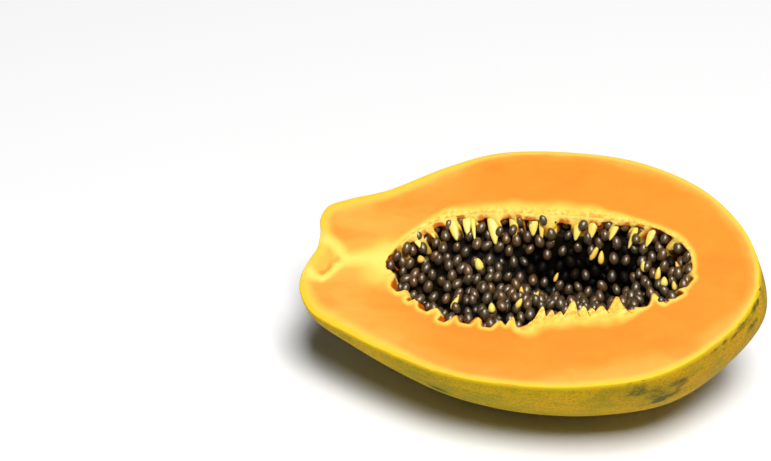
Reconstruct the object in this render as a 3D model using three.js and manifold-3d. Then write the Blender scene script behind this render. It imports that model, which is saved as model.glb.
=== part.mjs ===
// Half of a ripe papaya, cut lengthwise and lying on its rounded back, with its seeds still in the cavity.
// Millimetres, +Z up. The cut face leans towards -Y, the stem end points to -X and the blossom end to +X.
// Two pieces: the fruit (rind, flesh and the ridged cavity wall grew as one body) and the mass of seeds.
//
// The fruit is drawn in its own frame first: X from stem to blossom, Y across the cut, Z out of the cut face.
// Its rind is swept between three lines: the two edges of the cut, and the keel under the fruit.

import * as THREE from "three";
import { mergeVertices } from "three/addons/utils/BufferGeometryUtils.js";
import Module from "manifold-3d";

const wasm = await Module();
wasm.setup();

// ---- driving dimensions ----

const LENGTH = 215; // stem end to blossom end, along the cut face
const HALF_DEPTH = 75.5; // from the cut face to the keel
const CAVITY_DEPTH = 41; // from the cut face to the bottom of the cavity
const SEED_LENGTH = 6.3;
const SEED_WIDTH = 4.9;
const SEED_SWELL = 1.2; // the flat-sided seeds are larger, so that they fill the round seeds' outlines
const LEAN = 14; // degrees that the cut face leans over towards -Y
const NOSE_UP = 5; // degrees that the blossom end is higher than the stem end
const REST_DENT = 1.2; // how deep the rind is flattened where the fruit rests
const SEED_GAP = 0.55; // from the cavity wall to the seed mass, measured towards the middle

// ---- outlines, as shares of LENGTH ----
// The three lines of the rind run through matching stations, from the stem scar to the blossom tip.

const FAR_EDGE = [
  [-0.493, -0.012], [-0.497, 0.03], [-0.507, 0.072], [-0.497, 0.107], [-0.455, 0.132], [-0.372, 0.167],
  [-0.251, 0.248], [-0.14, 0.302], [0.023, 0.323], [0.186, 0.311], [0.335, 0.251], [0.433, 0.16],
  [0.481, 0.07], [0.493, 0],
];
const NEAR_EDGE = [
  [-0.493, -0.012], [-0.496, -0.055], [-0.512, -0.094], [-0.503, -0.133], [-0.468, -0.183], [-0.382, -0.226],
  [-0.251, -0.276], [-0.14, -0.306], [0, -0.316], [0.163, -0.3], [0.316, -0.249], [0.428, -0.149],
  [0.479, -0.063], [0.493, 0],
];
// How far along, and what share of HALF_DEPTH.
const KEEL = [
  [-0.493, 0], [-0.498, 0.11], [-0.509, 0.215], [-0.5, 0.31], [-0.46, 0.395], [-0.372, 0.55],
  [-0.251, 0.76], [-0.14, 0.9], [0.023, 0.99], [0.186, 0.975], [0.337, 0.855], [0.44, 0.61],
  [0.505, 0.27], [0.493, 0],
];
const CAVITY_EDGE = [
  [-0.329, -0.03], [-0.296, 0.042], [-0.234, 0.1], [-0.14, 0.131], [0, 0.143], [0.14, 0.146],
  [0.26, 0.128], [0.33, 0.075], [0.34, 0.01], [0.3, -0.046], [0.2, -0.106], [0.08, -0.145],
  [-0.045, -0.167], [-0.15, -0.157], [-0.24, -0.118], [-0.3, -0.075],
];
const CAVITY_MIDDLE = [0.01, -0.012];

// ---- how finely the surfaces are cut into flat faces ----

const RIND_STEPS = 50; // from stem to blossom
const RIND_TURNS = 24; // from the far edge, under the keel, to the near edge
const CAVITY_TURNS = 168;
const CAVITY_RINGS = 7;
const HEAP_STEP = 8; // grid step of the packed seeds under the top layer
const EDGE_SAMPLE_COUNT = 360; // places at which the cavity's edge is measured
const MERGE_DISTANCE = 1e-4; // corners closer than this are one corner

// ---- the placenta: ridges that the seeds hang from ----

const RIDGE_COUNT = 46;
const RIDGE_HEIGHT = 3.2;
const RIDGE_SHARPNESS = 2.2;
const RIDGE_AT_RIM = 0.3; // share of its height that a ridge has at the rim
const RIDGE_RISE = 0.08; // share of the wall's height over which a ridge comes up to its full height
const RIDGE_FADE = 0.75; // share of the wall's height over which a ridge dies away again
const RIDGE_SLANT = 0.8; // ridge widths that a ridge moves round the cavity on its way down
const RIDGE_WANDER = { size: 0.35, waves: 7 }; // how far, in ridge widths, the ridges stray from even spacing
const RIDGE_UNEVEN = { share: 0.4, waves: [11, 5], start: 1 }; // how much the ridges' heights differ

// ---- the seeds ----

const SEED_SPACING = 5.5; // least distance between two seeds' middles
const SEED_TRIES = 20000;
const SEED_RANDOM = 20177;
const HEAP_DROP = 2; // the packed seeds' surface lies this far under the top seeds' middles
const EDGE_LEVEL = -4.2; // height of the seeds' middles along the near edge of the cavity
const FAR_DROP = 1.5; // how much lower they lie along the far edge
// The empty furrow along the cavity: a higher sharpness makes it steeper in the middle.
const HOLLOW = { depth: 24, middle: 8, nearReach: 28, farReach: 19, sharpness: 1.5 };
const HOLLOW_ENDS = 0.12; // share of its depth that the furrow keeps at its ends
const HOLLOW_START = [-36, 4]; // where it deepens, along X
const HOLLOW_END = [34, 60]; // where it comes up again
const SEED_SCATTER = 0.55; // how far a seed's long axis strays from pointing in from the wall
const SEED_UNEVEN = 1.6; // how much the top seeds' heights differ
const SEED_CLEARANCE = 0.45; // share of its width that a seed's middle keeps from the wall
// A seed points at the furrow: this share of the way to the middle along X, and this far below itself.
const SEED_AIM = { along: 0.35, below: 4 };

const smooth = THREE.MathUtils.smoothstep;

// Numbers from 0 to 1 by the mulberry32 rule, always the same ones for the same seed.
function randomNumbers(seed) {
  let state = seed;
  return () => {
    state = (state + 0x6d2b79f5) | 0;
    let t = Math.imul(state ^ (state >>> 15), 1 | state);
    t = (t + Math.imul(t ^ (t >>> 7), 61 | t)) ^ t;
    return ((t ^ (t >>> 14)) >>> 0) / 4294967296;
  };
}

function curveThrough(points, closed = false) {
  return new THREE.CatmullRomCurve3(points, closed, "centripetal");
}

const onFace = ([along, across]) => new THREE.Vector3(along * LENGTH, across * LENGTH, 0);
const underFace = ([along, down]) => new THREE.Vector3(along * LENGTH, 0, -down * HALF_DEPTH);
const farEdge = curveThrough(FAR_EDGE.map(onFace));
const nearEdge = curveThrough(NEAR_EDGE.map(onFace));
const keel = curveThrough(KEEL.map(underFace));
const cavityEdge = curveThrough(CAVITY_EDGE.map(onFace), true);
const cavityMiddle = onFace(CAVITY_MIDDLE);
const cavityBox = new THREE.Box3().setFromPoints(cavityEdge.getPoints(EDGE_SAMPLE_COUNT));

// A point of the rind: along runs from stem (0) to blossom (1), turn from the far edge (0) to the near (1).
function rindPoint(along, turn) {
  const far = farEdge.getPoint(along);
  const near = nearEdge.getPoint(along);
  if (turn === 0 || along === 0 || along === 1) return far;
  if (turn === 1) return near;
  const low = keel.getPoint(along);
  const middle = far.clone().add(near).multiplyScalar(0.5);
  const side = far.clone().sub(near).multiplyScalar(0.5);
  const down = new THREE.Vector3(low.x - middle.x, 0, low.z);
  const angle = turn * Math.PI;
  return middle.addScaledVector(side, Math.cos(angle)).addScaledVector(down, Math.sin(angle));
}

// How far a placenta ridge stands in from the smooth wall, round the cavity (0 to 1) and down it (0 to 1).
function ridgeHeight(round, down) {
  const turn = round * 2 * Math.PI;
  const wander = RIDGE_WANDER.size * Math.sin(turn * RIDGE_WANDER.waves);
  const phase = round * RIDGE_COUNT + wander + RIDGE_SLANT * down;
  const crest = Math.pow(Math.abs(Math.sin(phase * Math.PI)), RIDGE_SHARPNESS);
  const { share, waves, start } = RIDGE_UNEVEN;
  const uneven = 1 - share + share * Math.sin(turn * waves[0] + start) * Math.cos(turn * waves[1]);
  const rise = RIDGE_AT_RIM + (1 - RIDGE_AT_RIM) * smooth(down, 0, RIDGE_RISE);
  return RIDGE_HEIGHT * crest * uneven * rise * (1 - smooth(down, 0, RIDGE_FADE));
}

// A point of the cavity wall, moved in towards the middle of the cavity by inset.
function cavityPoint(round, down, inset) {
  const edge = cavityEdge.getPoint(round);
  const out = edge.clone().sub(cavityMiddle);
  const reach = out.length();
  const angle = (down * Math.PI) / 2;
  const radius = Math.max(0, reach * Math.cos(angle) - ridgeHeight(round, down) - inset);
  const depth = (CAVITY_DEPTH - inset) * Math.sin(angle);
  const point = cavityMiddle.clone().addScaledVector(out, radius / reach);
  point.z = -depth;
  return point;
}

// The cavity wall as rings of points, from the edge of the cavity down to its bottom.
function cavityRings(inset) {
  const rings = [];
  for (let k = 0; k <= CAVITY_RINGS; k++) {
    rings.push([]);
    for (let m = 0; m < CAVITY_TURNS; m++)
      rings[k].push(cavityPoint(m / CAVITY_TURNS, k / CAVITY_RINGS, inset));
  }
  return rings;
}

// ---- closed meshes and solids ----

class Faces {
  constructor() {
    this.positions = [];
  }
  triangle(a, b, c) {
    for (const p of [a, b, c]) this.positions.push(p.x, p.y, p.z);
  }
  // a, b, c and d run round the four-sided face.
  quad(a, b, c, d) {
    this.triangle(a, b, c);
    this.triangle(a, c, d);
  }
  geometry() {
    const made = new THREE.BufferGeometry();
    made.setAttribute("position", new THREE.Float32BufferAttribute(this.positions, 3));
    return made;
  }
}

// A closed geometry as a manifold-3d solid. Faces that have shrunk to a line at a pole are dropped.
function solidOf(geometry) {
  const bare = geometry.index ? geometry.toNonIndexed() : geometry.clone();
  bare.deleteAttribute("normal");
  bare.deleteAttribute("uv");
  const merged = mergeVertices(bare, MERGE_DISTANCE);
  const corners = Array.from(merged.index.array);
  const kept = [];
  for (let i = 0; i < corners.length; i += 3) {
    const [a, b, c] = corners.slice(i, i + 3);
    if (a !== b && b !== c && c !== a) kept.push(a, b, c);
  }
  const vertProperties = merged.attributes.position.array;
  return new wasm.Manifold(new wasm.Mesh({ numProp: 3, vertProperties, triVerts: new Uint32Array(kept) }));
}

function geometryOf(solid) {
  const mesh = solid.getMesh();
  const made = new THREE.BufferGeometry();
  const places = new Float32Array(mesh.numVert * 3);
  for (let i = 0; i < mesh.numVert; i++)
    places.set(mesh.vertProperties.subarray(i * mesh.numProp, i * mesh.numProp + 3), i * 3);
  made.setAttribute("position", new THREE.BufferAttribute(places, 3));
  made.setIndex(new THREE.BufferAttribute(mesh.triVerts, 1));
  made.computeVertexNormals();
  return made;
}

function boxSolid(low, high) {
  const size = high.clone().sub(low);
  const middle = high.clone().add(low).multiplyScalar(0.5);
  return solidOf(new THREE.BoxGeometry(size.x, size.y, size.z).translate(middle.x, middle.y, middle.z));
}

// ---- the fruit ----

function fruitSolid() {
  const faces = new Faces();
  const grid = [];
  for (let i = 0; i <= RIND_STEPS; i++) {
    grid.push([]);
    for (let j = 0; j <= RIND_TURNS; j++) grid[i].push(rindPoint(i / RIND_STEPS, j / RIND_TURNS));
  }
  for (let i = 0; i < RIND_STEPS; i++)
    for (let j = 0; j < RIND_TURNS; j++)
      faces.quad(grid[i][j], grid[i + 1][j], grid[i + 1][j + 1], grid[i][j + 1]);

  const rings = cavityRings(0);
  for (let k = 0; k < CAVITY_RINGS; k++)
    for (let m = 0; m < CAVITY_TURNS; m++) {
      const next = (m + 1) % CAVITY_TURNS;
      faces.quad(rings[k][m], rings[k + 1][m], rings[k + 1][next], rings[k][next]);
    }

  // The cut face: from the rind's two edges to the edge of the cavity.
  const outer = [];
  for (let i = 0; i < RIND_STEPS; i++) outer.push(grid[i][RIND_TURNS]);
  for (let i = RIND_STEPS; i > 0; i--) outer.push(grid[i][0]);
  const inner = rings[0];
  const all = [...outer, ...inner];
  const flat = (points) => points.map((p) => new THREE.Vector2(p.x, p.y));
  for (const [a, b, c] of THREE.ShapeUtils.triangulateShape(flat(outer), [flat(inner)]))
    faces.triangle(all[a], all[b], all[c]);
  return solidOf(faces.geometry());
}

// ---- the seeds ----

// The space inside the cavity, open upwards, that the seeds may fill.
function cavitySpace(inset) {
  const faces = new Faces();
  const rings = cavityRings(inset);
  const ceiling = SEED_LENGTH;
  const top = rings[0].map((point) => point.clone().setZ(ceiling));
  const levels = [top, ...rings];
  const cap = cavityMiddle.clone().setZ(ceiling);
  for (let m = 0; m < CAVITY_TURNS; m++) {
    const next = (m + 1) % CAVITY_TURNS;
    faces.triangle(cap, top[next], top[m]);
    for (let k = 0; k + 1 < levels.length; k++)
      faces.quad(levels[k][m], levels[k][next], levels[k + 1][next], levels[k + 1][m]);
  }
  return solidOf(faces.geometry());
}

// Height of the top seeds' middles at a place on the cut face.
function seedLevel(x, y) {
  const across = y - HOLLOW.middle;
  const reach = across > 0 ? HOLLOW.farReach : HOLLOW.nearReach;
  const dip = Math.pow(Math.cos((Math.min(1, Math.abs(across) / reach) * Math.PI) / 2), HOLLOW.sharpness);
  const along = smooth(x, ...HOLLOW_START) * (1 - smooth(x, ...HOLLOW_END));
  const far = smooth(y, cavityBox.min.y, cavityBox.max.y);
  return EDGE_LEVEL - FAR_DROP * far - HOLLOW.depth * dip * (HOLLOW_ENDS + (1 - HOLLOW_ENDS) * along);
}

// Whether a seed's middle fits between the walls: the smooth wall at that depth, less half a seed.
function fitsCavity(point, clearance) {
  const angle = Math.asin(Math.min(1, -point.z / CAVITY_DEPTH));
  const shrink = Math.cos(angle);
  const away = new THREE.Vector2(point.x - cavityMiddle.x, point.y - cavityMiddle.y);
  return away.length() + clearance < shrink * edgeReach(Math.atan2(away.y, away.x));
}

// Distance from the cavity's middle to its edge, in a direction on the cut face.
const EDGE_SAMPLES = cavityEdge.getPoints(EDGE_SAMPLE_COUNT).map((p) => {
  const out = p.clone().sub(cavityMiddle);
  return { angle: Math.atan2(out.y, out.x), reach: Math.hypot(out.x, out.y) };
});
function edgeReach(angle) {
  let best = EDGE_SAMPLES[0];
  let least = Infinity;
  for (const sample of EDGE_SAMPLES) {
    const turn = Math.abs(sample.angle - angle);
    const off = Math.min(turn, 2 * Math.PI - turn);
    if (off < least) [best, least] = [sample, off];
  }
  return best.reach;
}

function seedPlaces() {
  const random = randomNumbers(SEED_RANDOM);
  const places = [];
  for (let n = 0; n < SEED_TRIES; n++) {
    const x = THREE.MathUtils.lerp(cavityBox.min.x, cavityBox.max.x, random());
    const y = THREE.MathUtils.lerp(cavityBox.min.y, cavityBox.max.y, random());
    const lift = (random() - 0.5) * SEED_UNEVEN;
    const scatter = new THREE.Vector3(random() - 0.5, random() - 0.5, random() - 0.5);
    const middle = new THREE.Vector3(x, y, seedLevel(x, y) + lift);
    if (!fitsCavity(middle, SEED_WIDTH * SEED_CLEARANCE)) continue;
    const apart = places.every((other) => other.middle.distanceTo(middle) > SEED_SPACING);
    if (apart) places.push({ middle, scatter });
  }
  return places;
}

// A twenty-sided seed, its long axis pointing in from the wall towards the furrow.
function seedSolid({ middle, scatter }) {
  const seed = new THREE.IcosahedronGeometry(0.5, 0);
  const size = new THREE.Vector3(SEED_WIDTH, SEED_WIDTH, SEED_LENGTH).multiplyScalar(SEED_SWELL);
  const along = SEED_AIM.along * (cavityMiddle.x - middle.x);
  const inward = new THREE.Vector3(along, HOLLOW.middle - middle.y, -SEED_AIM.below).normalize();
  const axis = inward.addScaledVector(scatter, 2 * SEED_SCATTER).normalize();
  const spin = new THREE.Quaternion().setFromUnitVectors(new THREE.Vector3(0, 0, 1), axis);
  seed.applyMatrix4(new THREE.Matrix4().compose(middle, spin, size));
  return solidOf(seed);
}

// The packed seeds under the top layer, as one body with a smooth surface.
function heapSolid() {
  const area = cavityBox.clone().expandByScalar(HEAP_STEP / 2);
  const lows = area.min;
  const size = area.getSize(new THREE.Vector3());
  const counts = { x: Math.ceil(size.x / HEAP_STEP), y: Math.ceil(size.y / HEAP_STEP) };
  const floor = -CAVITY_DEPTH - HEAP_STEP / 2;
  const faces = new Faces();
  const at = (i, j, z) => {
    const x = lows.x + i * HEAP_STEP;
    const y = lows.y + j * HEAP_STEP;
    return new THREE.Vector3(x, y, z ?? seedLevel(x, y) - HEAP_DROP);
  };
  for (let i = 0; i < counts.x; i++)
    for (let j = 0; j < counts.y; j++) {
      faces.quad(at(i, j), at(i + 1, j), at(i + 1, j + 1), at(i, j + 1));
      faces.quad(at(i, j, floor), at(i, j + 1, floor), at(i + 1, j + 1, floor), at(i + 1, j, floor));
    }
  for (let i = 0; i < counts.x; i++) {
    faces.quad(at(i, 0, floor), at(i + 1, 0, floor), at(i + 1, 0), at(i, 0));
    faces.quad(at(i + 1, counts.y, floor), at(i, counts.y, floor), at(i, counts.y), at(i + 1, counts.y));
  }
  for (let j = 0; j < counts.y; j++) {
    faces.quad(at(0, j + 1, floor), at(0, j, floor), at(0, j), at(0, j + 1));
    faces.quad(at(counts.x, j, floor), at(counts.x, j + 1, floor), at(counts.x, j + 1), at(counts.x, j));
  }
  return solidOf(faces.geometry());
}

function seedsSolid() {
  const space = cavitySpace(SEED_GAP);
  const seeds = seedPlaces().map(seedSolid);
  const heap = wasm.Manifold.union([heapSolid(), ...seeds]);
  return heap.intersect(space);
}

// ---- resting on its back ----

const lean = new THREE.Matrix4().makeRotationX(THREE.MathUtils.degToRad(LEAN));
const noseUp = new THREE.Matrix4().makeRotationY(-THREE.MathUtils.degToRad(NOSE_UP));
const resting = noseUp.multiply(lean);

function bodiesBySize(solid) {
  return solid.decompose().sort((a, b) => b.volume() - a.volume());
}

const whole = geometryOf(fruitSolid()).applyMatrix4(resting);
whole.computeBoundingBox();
const box = whole.boundingBox;
const middleX = (box.min.x + box.max.x) / 2;
const middleY = (box.min.y + box.max.y) / 2;
const place = new THREE.Matrix4().makeTranslation(-middleX, -middleY, -box.min.z - REST_DENT);

// The fruit, flattened where it touches the table.
function restedFruit() {
  const reach = LENGTH;
  const table = boxSolid(new THREE.Vector3(-reach, -reach, -reach), new THREE.Vector3(reach, reach, 0));
  return geometryOf(solidOf(whole.clone().applyMatrix4(place)).subtract(table));
}

function restedSeeds() {
  const geometry = geometryOf(bodiesBySize(seedsSolid())[0]);
  return geometry.applyMatrix4(resting).applyMatrix4(place);
}

const fleshMaterial = new THREE.MeshStandardMaterial({ color: 0xffa54d, roughness: 0.42, metalness: 0 });
const seedMaterial = new THREE.MeshStandardMaterial({ color: 0x231a12, roughness: 0.25, metalness: 0 });

const fruit = new THREE.Mesh(restedFruit(), fleshMaterial);
fruit.name = "fruit";
const seeds = new THREE.Mesh(restedSeeds(), seedMaterial);
seeds.name = "seeds";

const papaya = new THREE.Group();
papaya.add(fruit, seeds);
export default papaya;
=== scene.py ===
"""Dresses a papaya half: the fruit, its seeds, pale strands and unripe seeds, and a plain stage."""

import math
import random

import bpy
import numpy as np
from mathutils import Matrix, Vector, noise


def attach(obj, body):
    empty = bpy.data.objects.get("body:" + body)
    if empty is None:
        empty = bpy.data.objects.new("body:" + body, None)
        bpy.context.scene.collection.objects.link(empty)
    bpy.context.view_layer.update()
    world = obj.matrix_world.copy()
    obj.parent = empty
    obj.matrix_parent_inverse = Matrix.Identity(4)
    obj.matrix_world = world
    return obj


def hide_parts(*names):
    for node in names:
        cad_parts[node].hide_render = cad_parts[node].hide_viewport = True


bl_info = {
    "name": "Papaya Half",
    "version": (1, 0, 0),
    "blender": (4, 5, 0),
    "location": "View3D > Sidebar > Papaya",
    "description": "Models a cut papaya half with its seeds over its packed solids",
    "category": "Add Mesh",
}

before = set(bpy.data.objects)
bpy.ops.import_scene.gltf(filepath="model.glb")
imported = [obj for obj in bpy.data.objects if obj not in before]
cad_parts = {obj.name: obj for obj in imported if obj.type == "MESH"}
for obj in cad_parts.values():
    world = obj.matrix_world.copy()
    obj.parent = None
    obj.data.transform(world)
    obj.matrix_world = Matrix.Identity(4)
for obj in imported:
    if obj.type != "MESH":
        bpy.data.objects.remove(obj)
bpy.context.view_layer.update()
MM = 0.001

# ---- driving dimensions, the solids' own ----

LENGTH = 0.215  # of the cut, from the stem end to the blossom end
HALF_DEPTH = 0.0755  # from the cut to the keel
CAVITY_DEPTH = 0.041  # from the cut to the bottom of the cavity
LEAN = math.radians(14)  # how far the cut leans over towards -Y
NOSE_UP = math.radians(5)  # how far the blossom end is raised
REST_DENT = 0.0012  # how deep the rind is flattened where the fruit rests
SOLID_STEPS = (50, 24)  # the facets of the solid's rind, which settle where the fruit rests

# ---- outlines, as shares of LENGTH, from the stem scar to the blossom tip ----
# They are the solids' own, but for NEAR_EDGE's second to fourth points: the notch at the stem is fuller here.

FAR_EDGE = (
    (-0.493, -0.012), (-0.497, 0.03), (-0.507, 0.072), (-0.497, 0.107), (-0.455, 0.132), (-0.372, 0.167),
    (-0.251, 0.248), (-0.14, 0.302), (0.023, 0.323), (0.186, 0.311), (0.335, 0.251), (0.433, 0.16),
    (0.481, 0.07), (0.493, 0),
)
NEAR_EDGE = (
    (-0.493, -0.012), (-0.504, -0.048), (-0.512, -0.088), (-0.504, -0.133), (-0.468, -0.183),
    (-0.382, -0.226), (-0.251, -0.276), (-0.14, -0.306), (0, -0.316), (0.163, -0.3), (0.316, -0.249),
    (0.428, -0.149), (0.479, -0.063), (0.493, 0),
)
# How far along, and what share of HALF_DEPTH.
KEEL = (
    (-0.493, 0), (-0.498, 0.11), (-0.509, 0.215), (-0.5, 0.31), (-0.46, 0.395), (-0.372, 0.55),
    (-0.251, 0.76), (-0.14, 0.9), (0.023, 0.99), (0.186, 0.975), (0.337, 0.855), (0.44, 0.61),
    (0.505, 0.27), (0.493, 0),
)
CAVITY_EDGE = (
    (-0.329, -0.03), (-0.296, 0.042), (-0.234, 0.1), (-0.14, 0.131), (0, 0.143), (0.14, 0.146),
    (0.26, 0.128), (0.33, 0.075), (0.34, 0.01), (0.3, -0.046), (0.2, -0.106), (0.08, -0.145),
    (-0.045, -0.167), (-0.15, -0.157), (-0.24, -0.118), (-0.3, -0.075),
)
CAVITY_MIDDLE = np.array((0.01, -0.012)) * LENGTH
CAVITY_SAMPLES = 1441  # places at which the cavity's edge is measured

# ---- how finely the fruit is cut into faces ----

RIND_STEPS = 300  # from the stem to the blossom
RIND_TURNS = 90  # from the far edge, under the keel, to the near edge
EDGE_RINGS = 2  # over the rounded cut edge of the rind
FACE_RINGS = 34  # over the cut
FACE_EASE = 0.55  # how much the cut's rings crowd towards its two edges
RIM_RINGS = 4  # over the rounded rim of the cavity
WALL_RINGS = 60
WALL_EASE = 1.4  # how much closer the wall's rings lie near the rim
RIM_START = EDGE_RINGS + FACE_RINGS
WALL_START = RIM_START + RIM_RINGS
LAST_RING = WALL_START + WALL_RINGS
SKIN_ROUND = 0.5 * MM  # radius of the cut edge of the rind
SKIN_ROUND_MOST = 0.3  # its most, as a share of how deep the fruit is there
RIM_ROUND = 1.3 * MM  # radius of the cavity's rim
MERGE = 0.002 * MM  # corners closer than this are one corner
TINY = 1e-9  # keeps divisions away from 0
NOISE_SHIFT = (7.31, 3.17, 5.53)  # sets noises with different seeds apart

# ---- ridges of the placenta, the solids' own but for RIDGE_AT_RIM ----

RIDGE_COUNT = 46
RIDGE_HEIGHT = 3.2 * MM
RIDGE_SHARPNESS = 2.2
RIDGE_AT_RIM = 0.12  # share of its height that a ridge has at the rim, lower than the solid's
RIDGE_RISE = 0.08  # share of the wall's height over which a ridge comes up to its full height
RIDGE_FADE = 0.75  # share of the wall's height over which it dies away again
RIDGE_SLANT = 0.8  # ridge widths that a ridge moves round the cavity on its way down
RIDGE_WANDER = (0.35, 7)  # how far the ridges stray from even spacing, and in how many waves
RIDGE_UNEVEN = (0.4, 11, 5, 1)  # how much their heights differ, in which waves, and where those start

# ---- pockets, lining and flaps at the cavity's rim ----

# Pockets that seeds have pressed into the flesh: where along the cavity's edge, half their width, how far
# they reach out past it, and how deep under the cut they start, in mm. Below 0 they bite into the rim itself.
POCKETS = np.array((
    (0.998, 4.5, 1.0, 0.5), (0.026, 3.0, 1.2, 2.0), (0.057, 3.0, 2.0, 4.5), (0.088, 2.0, 2.0, 4.5),
    (0.116, 3.0, 2.5, 3.8), (0.154, 2.0, 2.2, 2.6), (0.183, 3.4, 3.0, 3.8), (0.208, 3.4, 2.6, 3.6),
    (0.223, 1.3, 1.6, 3.4), (0.235, 4.0, 1.2, 3.6), (0.27, 3.4, 2.6, 4.4), (0.302, 3.0, 1.0, 4.0),
    (0.313, 2.3, 2.6, 2.4), (0.332, 3.4, 2.6, 2.8), (0.35, 2.6, 2.6, 2.4), (0.378, 5.8, 3.0, 1.0),
    (0.43, 5.4, 2.4, 1.0), (0.47, 2.5, 1.4, 1.4), (0.516, 4.2, 2.0, -1.0), (0.556, 4.0, 4.0, -1.0),
    (0.575, 2.6, 3.6, -1.0), (0.594, 3.0, 1.8, -1.0), (0.609, 3.3, 2.6, -1.0), (0.724, 2.8, 1.0, -1.0),
    (0.763, 3.4, 1.6, -1.0), (0.789, 6.0, 1.4, -1.0), (0.815, 3.0, 3.2, -1.0), (0.848, 4.6, 1.6, -1.0),
    (0.872, 2.0, 2.2, -1.0), (0.91, 4.0, 1.6, -1.0),
))
POCKET_SIDES = (0.55, 1.25)  # where a pocket's sides rise, as shares of half its width
POCKET_START = 0.6  # mm above and under its start over which a pocket comes in
POCKET_FADE = (16 * MM, 24 * MM)  # depths at which the pockets run out in the wall
MOUTH_ORANGE_ABOVE = 2.2  # mm above the pockets where the orange over their mouths starts, partly the flesh's colour and partly painted shade
MOUTH_ORANGE_EASE = 0.5  # mm that are added to POCKET_START for each mm above them
POCKET_ON_CUT = (0.3, 1.3)  # mm from the hollow over which the pockets' orange, partly painted shade, fades on the cut
NEAR_WIDENING = 2.2 * MM  # how much wider the cavity is by the near stem side
NEAR_WIDE_TURNS = (0.78, 0.83, 0.91, 0.97)
LINING_LEAN = 3.4 * MM  # how far in the wall leans under the far rim
LINING_DEPTH = 5.5 * MM  # by what depth it does so
LINING_TURNS = (0.035, 0.08, 0.42, 0.5)
BANK = 3.6 * MM  # how far in the placenta stands at the near rim
BANK_ALONG = (-0.01, 0.04, 0.22, 0.28)
BANK_FALL = (1.0 * MM, 9 * MM)  # depths over which it and the flaps fall back to the wall
# Pointed flaps of placenta at the near rim: where along the cavity's edge, how far in they reach and half
# their width, in mm.
FLAPS = np.array((
    (0.737, 5.5, 3.0), (0.706, 7.0, 3.8), (0.694, 4.5, 3.0), (0.684, 3.5, 3.0), (0.671, 9.0, 4.2),
    (0.658, 5.5, 3.4), (0.648, 3.5, 3.2), (0.637, 4.0, 3.2), (0.621, 8.0, 3.4), (0.585, 6.0, 2.8),
    (0.777, 4.5, 3.2), (0.803, 3.2, 2.6), (0.832, 3.2, 3.4), (0.862, 3.0, 2.8), (0.888, 2.6, 3.4),
    (0.932, 4.5, 3.6), (0.955, 2.4, 3.4), (0.75, 3.0, 3.4),
))
FLAP_EASE = 5  # how late on the way in over the cut the flaps start to draw it in

# ---- the cut's colours and relief ----

# Widths in mm of the yellow rim, of the band up to the deep orange and of the lining: everywhere, and what
# each zone of the cut adds to them.
WIDTHS = {
    "rim": {"all": 2.4, "stem": 3.2, "near": 0.7, "near stem": 0.1},
    "band": {"all": 6.5, "stem": 5.0, "near": 6.0, "near blossom": 2.0},
    "lining": {"all": 1.3, "wide": 4.2, "far": 0.6, "blossom": 1.0, "bank": 5.6, "left": 1.3},
}
# Where the zones fade, as shares of LENGTH along the fruit or, for near and far, across it.
STEM_ZONE = (-0.4, -0.05)
BLOSSOM_ZONE = (0.1, 0.4)
LEFT_ZONE = (-0.08, 0.02)
WIDE_ZONE = (-0.3, -0.16, 0.08, 0.24)
BANK_ZONE = (-0.04, 0.04, 0.2, 0.28)
NEAR_ZONE = (-0.22, 0.0)
FAR_ZONE = (-0.02, 0.08)
NECK_ZONE = (-0.42, -0.12)  # where the flesh turns paler towards the stem
NECK_PALE = 0.95
# The stem core on the cut, as shares of LENGTH: pale tissue runs from the cavity to the stem scar and forks
# round an orange heart. The third number of each point is the pale tissue's half width there.
FORK_LINES = (
    ((-0.32, -0.03, 0.09), (-0.343, -0.028, 0.068), (-0.362, -0.026, 0.05), (-0.385, -0.029, 0.036),
     (-0.412, -0.034, 0.03), (-0.43, -0.035, 0.028)),
    ((-0.43, -0.032, 0.028), (-0.446, -0.012, 0.027), (-0.463, 0.004, 0.027), (-0.482, 0.012, 0.03),
     (-0.5, 0.015, 0.034)),
    ((-0.43, -0.04, 0.027), (-0.44, -0.062, 0.018), (-0.45, -0.082, 0.014), (-0.462, -0.096, 0.013)),
    ((-0.464, -0.096, 0.012), (-0.48, -0.09, 0.019), (-0.496, -0.08, 0.028), (-0.51, -0.07, 0.034)),
)
LINE_SAMPLES = 24
# Oval spots: the middle and the reach both ways, as shares of LENGTH.
CORE = ((-0.47, -0.047, 0.034, 0.046),)
CORE_SPOTS = ((-0.441, -0.038, 0.011, 0.016), (-0.466, -0.074, 0.012, 0.012), (-0.455, -0.06, 0.008, 0.02))
CORE_EASE = (0.25, 1.0)  # shares of their reach from which and to which they fade
# Low relief of the cut: soft waves (height, size and noise), the proud fork, and the sunk heart and spots.
WAVES = ((0.22 * MM, 12 * MM, 3), (0.09 * MM, 4.5 * MM, 5))
FORK_PROUD = 0.6 * MM
FORK_RISE = (0.1, 0.8)  # shares of the pale tissue over which it comes up
CORE_SUNK = 0.7 * MM
SPOT_SUNK = 0.6 * MM
RELIEF_INSIDE = (0.6, 2.5)  # how far in from the cut's edges, in mm and in lining widths, it comes up

# ---- the rind's colours ----

# Grey-green bruises: share along, share round from the far edge to the near edge, and the reach both ways.
BRUISES = (
    (0.745, 0.955, 0.016, 0.04), (0.762, 0.925, 0.02, 0.05), (0.782, 0.93, 0.02, 0.03),
    (0.765, 0.875, 0.03, 0.03), (0.905, 0.97, 0.03, 0.04), (0.935, 0.96, 0.028, 0.06),
    (0.96, 0.92, 0.02, 0.06), (0.915, 0.85, 0.022, 0.04), (0.855, 0.975, 0.008, 0.012),
    (0.52, 0.9, 0.02, 0.03), (0.6, 0.62, 0.04, 0.03), (0.8, 0.4, 0.035, 0.04),
    (0.5, 0.25, 0.05, 0.02), (0.87, 0.2, 0.03, 0.04), (0.3, 0.45, 0.03, 0.02),
)
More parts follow.
